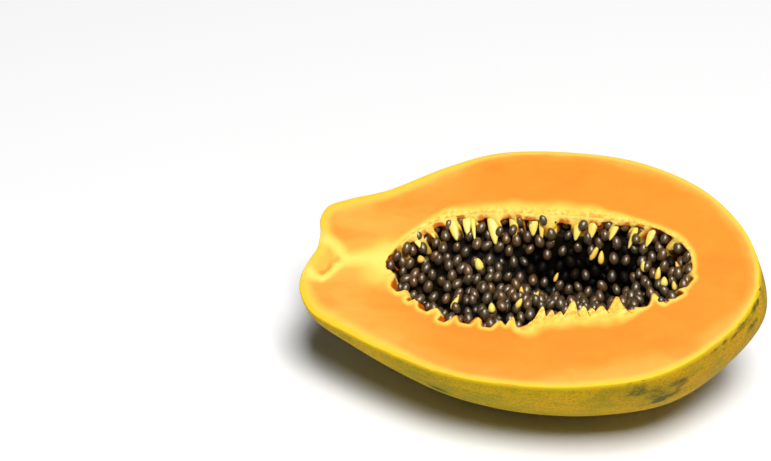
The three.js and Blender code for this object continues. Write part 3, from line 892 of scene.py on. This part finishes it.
def thread_material(colours):
    """Pale, slightly glassy placenta strands and unripe seeds."""
    material, tree = new_material("papaya tufts")
    grain = moist_grain(tree, tree.place(), patch=0.005, grain=0.0008)
    tone = tree.ragged("tone", grain["Patches"], 1.0)
    tree.shade({
        "Base Color": tree.mix(tree.share(tone, 0.0, 0.9), colours.lining, colours.thread),
        "Normal": tree.bump(grain["Height"], strength=0.3, distance=0.0003),
        "Roughness": 0.4,
        "Subsurface Weight": 0.15,
        "Subsurface Radius": (1.0, 0.6, 0.25),
        "Subsurface Scale": 0.002,
    })
    return material


# ---- the fruit ----


def near_spots(x, y, spots, full, end):
    """1 up to full reaches from the middle of an oval spot, easing to 0 at end reaches."""
    best = np.zeros(len(x))
    for middle_x, middle_y, reach_x, reach_y in spots:
        away = np.hypot((x - middle_x) / reach_x, (y - middle_y) / reach_y)
        best = np.maximum(best, 1 - smooth(away, full, end))
    return best


def near_lines(flat, lines):
    """1 on the lines, easing to 0 at their half width away."""
    best = np.zeros(len(flat))
    for points in lines:
        for x, y, width in line_on_cut(points)(np.linspace(0, 1, LINE_SAMPLES)):
            best = np.maximum(best, 1 - np.hypot(flat[:, 0] - x, flat[:, 1] - y) / width)
    return best


def rind_values(along, turn, inside):
    """What the rind material reads: blotches, cork at both ends, where the rind is ripe or cut, and how low
    it is, for painted shade on its underside.
    """
    under = np.sin(np.pi * turn)
    return {
        "bruise": near_spots(along, turn, BRUISES, *BLOTCH_EASE),
        "freckle": near_spots(along, turn, FRECKLES, *BLOTCH_EASE),
        "cork": np.maximum(1 - smooth(along, *STEM_SCAR), smooth(along, *BLOSSOM_TIP)),
        "cut_near": inside,
        # low: how much painted shade the underside gets
        "low": under**UNDER_SHADE_SHAPE * smooth(along, *UNDER_SHADE_START) * (1 - UNDER_SHADE_LESS * smooth(along, *UNDER_SHADE_END)),
        "ripe": smooth(along, *RIPE) * (1 - RIPE_LESS * under),
    }


def rind_grid():
    def place(column, row):
        along, turn = column / RIND_STEPS, row / RIND_TURNS
        points = rested(rind_points(along, turn))
        points[:, 2] = np.maximum(points[:, 2], 0)
        half_width = np.linalg.norm(far_edge(along) - near_edge(along), axis=1) / 2
        from_cut = np.minimum(turn, 1 - turn) * np.pi * half_width
        return points, rind_values(along, turn, np.clip(from_cut / CUT_NEAR, 0, 1))

    return shaped_grid("rind", RIND_STEPS, RIND_TURNS, place)


def outline_ring():
    """Round the cut: the line of its outline, and how far the rind's rounded edge reaches."""
    steps = np.arange(2 * RIND_STEPS + 1)
    far = steps <= RIND_STEPS
    along = np.where(far, steps, 2 * RIND_STEPS - steps) / RIND_STEPS
    line = np.where(far[:, None], far_edge(along), near_edge(along))
    return line, edge_round(rind_frame(along)[2])


def distance_to_line(points, line, batch=4000):
    """Least distance from each point to a closed line, on the cut."""
    start, end = line[:-1], line[1:]
    step = end - start
    size = np.maximum((step**2).sum(1), TINY**2)
    best = np.full(len(points), np.inf)
    for first in range(0, len(points), batch):
        part = points[first : first + batch, None, :]
        share = np.clip(((part - start) * step).sum(2) / size, 0, 1)
        nearest = start + share[..., None] * step
        best[first : first + batch] = np.sqrt(((part - nearest) ** 2).sum(2)).min(1)
    return best


def cut_and_wall_grid():
    """One grid from the rind's cut edge over the cut and the cavity's rim, down to the cavity's bottom."""
    line, round_off = outline_ring()
    away = line[:, :2] - CAVITY_MIDDLE
    angle = np.arctan2(away[:, 1], away[:, 0])
    outer = np.linalg.norm(away, axis=1)
    outward = away / outer[:, None]
    share = cavity_share(angle)
    reach = cavity_reach(angle)
    inner = reach - ridge_height(share, 0.0) + wall_offset(share, 0.0)
    quarter = math.pi / 2

    def ring(row):
        """Distance from the cavity's middle and height of one ring, with how far down the wall it lies."""
        if row < EDGE_RINGS:
            turn = quarter * (1 - row / EDGE_RINGS)
            return outer - round_off * (1 - math.sin(turn)), -round_off * (1 - math.cos(turn)), 0.0
        if row < RIM_START:
            step = (row - EDGE_RINGS) / FACE_RINGS
            eased = 0.5 - 0.5 * math.cos(math.pi * step)
            start, end = outer - round_off, inner + RIM_ROUND
            return start + (end - start) * (FACE_EASE * eased + (1 - FACE_EASE) * step), 0.0, 0.0
        if row < WALL_START:
            turn = quarter * (row - RIM_START) / RIM_RINGS
            return inner + RIM_ROUND * (1 - math.sin(turn)), -RIM_ROUND * (1 - math.cos(turn)), 0.0
        first = math.asin(RIM_ROUND / CAVITY_DEPTH)
        fall = first + (quarter - first) * ((row - WALL_START) / WALL_RINGS) ** WALL_EASE
        down = fall / quarter
        depth = CAVITY_DEPTH * math.sin(fall)
        out = wall_offset(share, depth) - ridge_height(share, down)
        radius = np.maximum(0, reach * math.cos(fall) + out * math.cos(fall) ** 0.5)
        return radius * (row < LAST_RING), -depth, down

    rings = [ring(row) for row in range(LAST_RING + 1)]
    radius = np.array([r[0] for r in rings])
    height = np.array([np.broadcast_to(r[1], outer.shape) for r in rings])
    fall = np.array([r[2] for r in rings])
    grow = np.clip((np.arange(LAST_RING + 1) - EDGE_RINGS) / FACE_RINGS, 0, 1) ** FLAP_EASE
    flaps = np.array([flap_reach(share, -level[0]) * part for level, part in zip(height, grow)])
    hollow = CAVITY_MIDDLE + outward * inner[:, None]
    hollow[:, 1] += flaps[RIM_START]

    def place(column, row):
        flat = CAVITY_MIDDLE + outward[column] * radius[row, column][:, None]
        flat[:, 1] += flaps[row, column]
        points = np.column_stack((flat, height[row, column]))
        on_cut = (row >= EDGE_RINGS) & (row < WALL_START)
        depth = np.maximum(0, -points[:, 2])
        values, from_hollow = cut_values(points[:, :2], line[:, :2], hollow, on_cut)
        # pocket and mouth carry the pockets' orange, which is partly painted shade
        in_pocket = pocket_shares(share[column], depth).max(axis=1)
        values["crest"] = ridge_height(share[column], fall[row]) / RIDGE_HEIGHT
        values["depth"] = -points[:, 2] / MM
        values["pocket"] = in_pocket * np.where(on_cut, 1 - smooth(from_hollow / MM, *POCKET_ON_CUT), 1)
        values["mouth"] = pocket_shares(share[column], depth, MOUTH_ORANGE_ABOVE).max(axis=1)
        inside = np.minimum(values["edge"], values["lining"])
        points[:, 2] += smooth(inside, *RELIEF_INSIDE) * on_cut * cut_relief(points, values)
        return rested(points), values

    return shaped_grid("cut", 2 * RIND_STEPS, LAST_RING, place)


def cut_values(flat, outline, hollow, on_cut):
    """What the flesh material reads on the cut, and how far each point is from the hollow."""
    to_rind, to_hollow = distance_to_line(flat, outline), distance_to_line(flat, hollow)
    x, y = flat.T / LENGTH
    stem, blossom = 1 - smooth(x, *STEM_ZONE), smooth(x, *BLOSSOM_ZONE)
    near, far = 1 - smooth(y, *NEAR_ZONE), smooth(y, *FAR_ZONE)
    zones = {
        "all": 1, "stem": stem, "blossom": blossom, "near": near, "far": far,
        "near stem": near * stem, "near blossom": near * blossom,
        "wide": far * window(x, *WIDE_ZONE),
        "bank": (1 - far) * window(x, *BANK_ZONE),
        "left": (1 - far) * (1 - smooth(x, *LEFT_ZONE)),
    }
    width = {key: MM * sum(parts[zone] * zones[zone] for zone in parts) for key, parts in WIDTHS.items()}
    values = {
        "rim": to_rind / width["rim"],
        "band": to_rind / width["band"],
        "lining": to_hollow / width["lining"],
        "fork": near_lines(flat, FORK_LINES) * on_cut,
        "core": near_spots(x, y, CORE, *CORE_EASE) * on_cut,
        "spot": near_spots(x, y, CORE_SPOTS, *CORE_EASE) * on_cut,
        "neck": NECK_PALE * (1 - smooth(x, *NECK_ZONE)) * on_cut,
        "edge": to_rind / MM,
    }
    return values, to_hollow


def cut_relief(points, values):
    """Low relief of the cut: soft waves, the pale fork proud of it, and the heart and its spots sunk."""
    flat = np.column_stack((points[:, 0], points[:, 1], np.zeros(len(points))))
    waves = sum(height * bumps(flat, scale, seed) for height, scale, seed in WAVES)
    fork = smooth(values["fork"], *FORK_RISE)
    sunk = CORE_SUNK * values["core"] * (1 - fork) + SPOT_SUNK * values["spot"]
    return waves + FORK_PROUD * fork - sunk


def make_fruit(settings):
    cut, skin = cut_and_wall_grid(), rind_grid()
    materials = (rind_material(settings), flesh_material(settings), wall_material(settings))
    for obj in (cut, skin):
        add_materials(obj, materials)
    face_count = (WALL_START - 1) * 2 * RIND_STEPS
    set_numbers(cut, np.where(np.arange(len(cut.data.polygons)) < face_count, 1, 2))
    made = joined("papaya_half", [cut, skin])
    clean(made)
    dress(made, "fruit")


# ---- seeds, the dark bed of painted shade under them, and the placenta's strands ----


def seed_turn(spot, draw):
    """A turn that lays a seed the way its neighbours lie, with some scatter, and spins it by chance."""
    fan = Vector((SEED_FAN * (CAVITY_MIDDLE[0] - spot[0]), 0, 0))
    axis = SEED_AIM + fan + Vector([draw.uniform(-SEED_SPREAD, SEED_SPREAD) for _ in range(3)])
    spin = Matrix.Rotation(draw.uniform(0, 2 * math.pi), 4, "Z")
    return axis.normalized().to_track_quat("Z", "Y").to_matrix().to_4x4() @ spin


def in_cavity(spot, clearance):
    away = np.array(spot[:2]) - CAVITY_MIDDLE
    angle = math.atan2(away[1], away[0])
    share = np.atleast_1d(cavity_share(angle))
    room = wall_reach(angle, -spot[2]) + wall_offset(share, -spot[2]) - flap_reach(share, -spot[2])
    return np.linalg.norm(away) + clearance < room[0]


class Spots:
    """Places already taken, kept a least distance apart."""

    def __init__(self, spacing):
        self.spacing = spacing
        self.taken = np.zeros((0, 3))

    def take(self, spot, clearance=None):
        """Takes a place if it is free and, with a clearance, if it keeps that far from the cavity's wall."""
        near = len(self.taken) and np.linalg.norm(self.taken - spot, axis=1).min() < self.spacing
        if not near and (clearance is None or in_cavity(spot, clearance)):
            self.taken = np.vstack((self.taken, spot))


def seed_spots(settings, draw):
    """Middles of the seeds: in the pockets, up the walls between the ridges, on the heap and under it."""
    spots = Spots(settings.spacing)
    for turn, half, bite, top in POCKETS:
        edge, way = rim_place(turn)
        middle = edge + way * (bite * MM - settings.width * POCKET_SEED_IN)
        count = max(1, round(half * MM / settings.width * POCKET_FILL))
        for step in range(count):
            shift = (step - (count - 1) / 2) * settings.width
            depth = (max(top, 0) + draw.uniform(*POCKET_SEED_DEPTH)) * MM
            spot = middle + shift * np.array((-way[1], way[0]))
            spots.take((*spot, -depth), settings.width * POCKET_CLEARANCE)
    for _ in range(WALL_TRIES):
        angle = draw.uniform(-math.pi, math.pi)
        depth = draw.uniform(*WALL_DEPTHS)
        out = wall_reach(angle, depth)[0] - settings.width * draw.uniform(*WALL_IN)
        x, y = CAVITY_MIDDLE + out * np.array((math.cos(angle), math.sin(angle)))
        gap = ridge_height(cavity_share(angle), GAP_AT) < GAP_CREST * RIDGE_HEIGHT
        if gap and -depth > seed_level(x, y) - settings.length / 2:
            spots.take((x, y, -depth))
    for layer, tries in enumerate(HEAP_TRIES):
        for _ in range(tries):
            x, y = draw.uniform(*CAVITY_ALONG), draw.uniform(*CAVITY_ACROSS)
            lift = draw.uniform(-1, 1) * HEAP_UNEVEN - layer * LAYER_DROP * settings.length
            lift -= FAR_SINK * float(smooth(y, *FAR_SINK_ACROSS))
            spots.take((x, y, float(seed_level(x, y)) + lift), settings.width * HEAP_CLEARANCE)
    return spots.taken


def hollow_shade(y, z):
    """How much painted shade seeds and bed get at a place across the cut and a height. The near slope stays
    lit longer.
    """
    return smooth(-np.asarray(z) - NEAR_LIT * (1 - smooth(y, *LIT_ACROSS)), *HOLLOW_SHADE_DEPTHS)


def placed_copies(name, form, matrices, values, materials):
    """Copies of one form, each with its own mesh, place, values and material number, joined in one piece."""
    add_materials(form, materials)
    copies = []
    for matrix, own in zip(matrices, values):
        copy = bpy.data.objects.new(name, form.data.copy())
        bpy.context.scene.collection.objects.link(copy)
        copy.data.transform(REST @ matrix)
        set_numbers(copy, own.pop("material", 0))
        for key, value in own.items():
            set_values(copy, key, [value] * len(copy.data.vertices))
        copies.append(copy)
    bpy.data.objects.remove(form)
    return joined(name, copies)


def make_seeds(settings):
    draw = random.Random(SEEDS_DRAW)
    matrices, values = [], []
    buried_from, buried_shade = BURIED
    for spot in seed_spots(settings, draw):
        size = draw.uniform(*SEED_SIZES)
        turn = seed_turn(spot, draw)
        scale = Matrix.Diagonal((size, size * draw.uniform(*SEED_SLIMNESS), size, 1))
        matrices.append(Matrix.Translation(Vector(spot)) @ turn @ scale)
        buried = spot[2] < seed_level(*spot[:2]) - buried_from * LAYER_DROP * settings.length
        # deep: the seed's painted shade, from its depth in the hollow or from lying buried
        deep = max(float(hollow_shade(spot[1], spot[2])), buried_shade * float(buried))
        tone = draw.random() ** 2
        values.append({"tone": tone, "deep": deep, "material": int(deep > draw.uniform(*SHADE_MATERIAL_FROM))})
    materials = [seed_material(settings), shaded_seed_material(settings)]
    form = egg(settings.width, settings.length, SEED_TAPER, base=0.5)
    seeds = placed_copies("papaya_seeds", form, matrices, values, materials)
    # a dark body under the seeds, painted shade between them
    shade_bed = shade_bed_grid()
    add_materials(shade_bed, materials)
    set_numbers(shade_bed, 1)
    made = joined("papaya_seeds", [seeds, shade_bed])
    clean(made)
    dress(made, "seeds")


def shade_bed_grid():
    """Painted shade under the seeds: a dark closed body from the heap's surface down to the cavity's wall,
    seen between the seeds.
    """
    lump_height, lump_size, lump_noise = BED_LUMP

    def place(column, row):
        angle = column / BED_TURNS * 2 * np.pi - np.pi
        way = np.column_stack((np.cos(angle), np.sin(angle)))
        reach = cavity_reach(angle)
        edge = reach.copy()
        for _ in range(BED_ROUNDS):
            x, y = (CAVITY_MIDDLE + way * edge[:, None]).T
            edge = (edge + wall_reach(angle, BED_DROP - seed_level(x, y))) / 2
        top = row <= BED_RINGS
        share = np.where(top, row / BED_RINGS, (2 * BED_RINGS - row) / BED_RINGS)
        flat = CAVITY_MIDDLE + way * (edge * share)[:, None]
        lumps = lump_height * bumps(np.column_stack((flat, np.zeros(len(flat)))), lump_size, lump_noise)
        surface = seed_level(flat[:, 0], flat[:, 1]) - BED_DROP + lumps * (1 - share**BED_EDGE)
        out = np.minimum(1, np.linalg.norm(flat - CAVITY_MIDDLE, axis=1) / reach)
        under = -CAVITY_DEPTH * np.sqrt(1 - out**2)
        height = np.where(top, surface, np.minimum(under, surface))
        # deep: the bed's painted shade
        deep = np.maximum(BED_SHADE_LEAST, hollow_shade(flat[:, 1], height))
        return rested(np.column_stack((flat, height))), {"deep": deep}

    return shaped_grid("shade_bed", BED_TURNS, 2 * BED_RINGS, place)


def strand_matrix(start, end, width, thick):
    """Places a tuft of unit size from one point to another, its flat side up."""
    axis = end - start
    turn = axis.to_track_quat("Z", "Y").to_matrix().to_4x4()
    return Matrix.Translation(start) @ turn @ Matrix.Diagonal((width, thick, axis.length, 1))


def strand_matrices(draw):
    """Where the placenta's strands and the pale seeds go, each with how orange it is."""
    made = []
    for turn, x, y, width in FAR_STRANDS:
        edge, way = rim_place(turn)
        start = Vector((*(edge + way * STRAND_OUT), -STRAND_START))
        x, y = x * LENGTH, y * LENGTH
        end = Vector((x, y, float(seed_level(x, y)) + STRAND_LIFT))
        matrix = strand_matrix(start, end, width * MM, width * STRAND_FLAT * MM)
        made.append((matrix, draw.uniform(*STRAND_ORANGE)))
    for x, y, length, width, orange in PALE_SEEDS:
        x, y = x * LENGTH, y * LENGTH
        middle = Vector((x, y, float(seed_level(x, y)) + PALE_LIFT + STRAND_LIFT))
        half = Vector((draw.uniform(-PALE_SPREAD, PALE_SPREAD), *SEED_AIM.yz)) * length * MM / 2
        made.append((strand_matrix(middle - half, middle + half, width * MM, width * MM), orange))
    return made


def make_tufts(settings):
    matrices, oranges = zip(*strand_matrices(random.Random(TUFTS_DRAW)))
    values = [{"tone": orange} for orange in oranges]
    form = egg(1, 1, TUFT_TAPER, base=0)
    made = placed_copies("placenta_tufts", form, matrices, values, [thread_material(settings)])
    dress(made)


# ---- the stage ----


def make_stage(settings):
    bpy.ops.object.select_all(action="DESELECT")
    bpy.ops.mesh.primitive_plane_add(size=FLOOR_SIZE)
    floor = bpy.context.object
    floor.name = "floor"
    material, tree = new_material("studio floor")
    tree.shade({"Base Color": FLOOR_COLOUR, "Roughness": 0.9})
    floor.data.materials.append(material)
    world = bpy.context.scene.world or bpy.data.worlds.new("studio")
    bpy.context.scene.world = world
    world.use_nodes = True
    background = next(n for n in world.node_tree.nodes if n.type == "BACKGROUND")
    background.inputs["Color"].default_value = (1, 1, 1, 1)
    background.inputs["Strength"].default_value = settings.fill
    bpy.context.scene.view_settings.view_transform = "Standard"
    make_light(settings)
    make_camera(settings)


def aimed(name, data, place, back):
    """A light or a camera at a place, that looks the other way from back."""
    made = bpy.data.objects.new(name, data)
    bpy.context.scene.collection.objects.link(made)
    made.location = place
    made.rotation_euler = (-back).to_track_quat("-Z", "Y").to_euler()
    return made


def make_light(settings):
    """A soft light above the front."""
    light = bpy.data.lights.new("key light", "AREA")
    light.size = KEY_SIZE
    light.energy = settings.key
    aimed("key light", light, KEY_PLACE, KEY_PLACE - KEY_AIM)


def make_camera(settings):
    """A camera that looks along its azimuth and elevation, with its aim in the middle of the picture."""
    camera = bpy.data.cameras.new("camera")
    camera.sensor_width = SENSOR
    camera.lens = SENSOR / 2 / math.tan(settings.view_width / 2)
    camera.clip_start, camera.clip_end = CLIP
    turn, rise = settings.azimuth, settings.elevation
    back = Vector((math.sin(turn) * math.cos(rise), -math.cos(turn) * math.cos(rise), math.sin(rise)))
    place = Vector(settings.aim) + back * settings.distance
    bpy.context.scene.camera = aimed("camera", camera, place, back)


# ---- settings, operators and panel ----


def colour_setting(name, description, *screen):
    return bpy.props.FloatVectorProperty(
        name=name, description=description, subtype="COLOR", size=4, min=0, max=1, default=colour(*screen)
    )


def number_setting(name, description, default, **kind):
    return bpy.props.FloatProperty(name=name, description=description, default=default, **kind)


class PapayaLooks(bpy.types.PropertyGroup):
    """Colours of the fruit and its seeds, and the size of a seed"""

    flesh: colour_setting("Flesh", "Deep orange of the ripe flesh", 255, 147, 44)
    flesh_pale: colour_setting("Pale flesh", "Peach flesh towards the rind and the stem", 255, 177, 74)
    flesh_warm: colour_setting("Warm flesh", "Redder clouds in the flesh", 252, 134, 36)
    rim: colour_setting("Rim", "Yellow flesh just under the rind", 250, 199, 34)
    rim_soft: colour_setting("Soft rim", "Where the yellow flesh turns to peach", 255, 203, 82)
    lining: colour_setting("Lining", "Pale tissue round the cavity and at the stem", 255, 226, 110)
    # partly painted shade: orange at the pockets' mouths and rims
    pocket_orange_and_shade: colour_setting("Pocket", "Orange at the mouths of the seeds' pockets, partly painted shade", 208, 98, 6)
    # painted shade in the pockets and deep down the cavity wall
    pocket_shade: colour_setting("Pocket shade", "Dark brown painted shade inside the seeds' pockets and deep down the wall", 34, 13, 4)
    core: colour_setting("Core", "Orange heart of the stem end", 255, 190, 74)
    rind_edge: colour_setting("Rind edge", "The rind's thin cut edge", 226, 190, 10)
    rind: colour_setting("Rind", "Main yellow of the rind", 208, 172, 12)
    rind_green: colour_setting("Green rind", "Olive drifts in the rind", 158, 146, 20)
    rind_warm: colour_setting("Warm rind", "Ochre patches of the rind", 222, 160, 10)
    rind_dark: colour_setting("Rind grain", "Fine darker grain of the rind", 120, 104, 14)
    # painted shade on the rind's underside
    rind_under_shade: colour_setting("Rind underside shade", "Dark olive painted shade on the rind's underside", 104, 92, 8)
    bruise: colour_setting("Bruise", "Grey-green patches of the rind", 66, 78, 30)
    speck: colour_setting("Speck", "Small red-brown specks of the rind", 110, 58, 18)
    cork: colour_setting("Cork", "Corky stem scar and blossom tip", 104, 78, 42)
    seed: colour_setting("Seed", "Black-brown of the seeds", 60, 44, 22)
    seed_brown: colour_setting("Brown seed", "The browner seeds", 98, 62, 22)
    seed_grey: colour_setting("Seed coat", "Grey of the wet seed coat", 108, 92, 62)
    # painted shade: near black for the seeds deep in the hollow
    seed_shade: colour_setting("Seed shade", "Near-black painted shade on the seeds in the hollow", 5, 4, 2)
    thread: colour_setting("Thread", "Placenta threads and unripe seeds", 252, 200, 72)
    length: number_setting("Seed length", "Length of a seed in its coat", 0.0063, unit="LENGTH")
    width: number_setting("Seed width", "Width of a seed in its coat", 0.0050, unit="LENGTH")
    spacing: number_setting("Seed spacing", "Least distance between seeds' middles", 0.0051, unit="LENGTH")


class PapayaStage(bpy.types.PropertyGroup):
    """Where the camera stands and how strong the light is"""

    azimuth: number_setting("Azimuth", "Camera's turn round the fruit", math.radians(14.51), subtype="ANGLE")
    elevation: number_setting("Elevation", "Camera's height, as an angle", math.radians(40), subtype="ANGLE")
    distance: number_setting("Distance", "From the camera to its aim", 1.0706, unit="LENGTH")
    aim: bpy.props.FloatVectorProperty(
        name="Aim", description="What lies in the middle of the picture", subtype="TRANSLATION",
        default=REST.translation + Vector((-0.0778, 0.0215, -0.0127)),
    )
    view_width: number_setting("View width", "Angle across the picture", math.radians(20), subtype="ANGLE")
    fill: number_setting("Fill", "Strength of the light from all round", 0.05)
    key: number_setting("Key light", "Power of the soft light above the front", 112, unit="POWER")


class PAPAYA_OT_fruit(bpy.types.Operator):
    """Models the fruit: rind, cut flesh and ridged cavity wall"""

    bl_idname = "papaya.fruit"
    bl_label = "Papaya half"

    def execute(self, context):
        make_fruit(context.scene.papaya_looks)
        return {"FINISHED"}


class PAPAYA_OT_seeds(bpy.types.Operator):
    """Fills the cavity with seeds"""

    bl_idname = "papaya.seeds"
    bl_label = "Seeds"

    def execute(self, context):
        make_seeds(context.scene.papaya_looks)
        return {"FINISHED"}


class PAPAYA_OT_tufts(bpy.types.Operator):
    """Adds the placenta's pale strands and the unripe seeds"""

    bl_idname = "papaya.tufts"
    bl_label = "Placenta tufts"

    def execute(self, context):
        make_tufts(context.scene.papaya_looks)
        return {"FINISHED"}


class PAPAYA_OT_stage(bpy.types.Operator):
    """Sets the floor, the lights and the camera"""

    bl_idname = "papaya.stage"
    bl_label = "Stage"

    def execute(self, context):
        make_stage(context.scene.papaya_stage)
        return {"FINISHED"}


OPERATORS = (PAPAYA_OT_fruit, PAPAYA_OT_seeds, PAPAYA_OT_tufts, PAPAYA_OT_stage)


class PAPAYA_PT_panel(bpy.types.Panel):
    """Lists the pieces of the papaya half"""

    bl_label = "Papaya half"
    bl_idname = "PAPAYA_PT_panel"
    bl_space_type = "VIEW_3D"
    bl_region_type = "UI"
    bl_category = "Papaya"

    def draw(self, context):
        for operator in OPERATORS:
            self.layout.operator(operator.bl_idname)


CLASSES = (PapayaLooks, PapayaStage, *OPERATORS, PAPAYA_PT_panel)


def register():
    for made in CLASSES:
        bpy.utils.register_class(made)
    bpy.types.Scene.papaya_looks = bpy.props.PointerProperty(type=PapayaLooks)
    bpy.types.Scene.papaya_stage = bpy.props.PointerProperty(type=PapayaStage)


def unregister():
    del bpy.types.Scene.papaya_stage
    del bpy.types.Scene.papaya_looks
    for made in reversed(CLASSES):
        bpy.utils.unregister_class(made)


def main():
    register()
    bpy.ops.papaya.fruit()
    bpy.ops.papaya.seeds()
    bpy.ops.papaya.tufts()
    bpy.ops.papaya.stage()


if __name__ == "__main__":
    main()
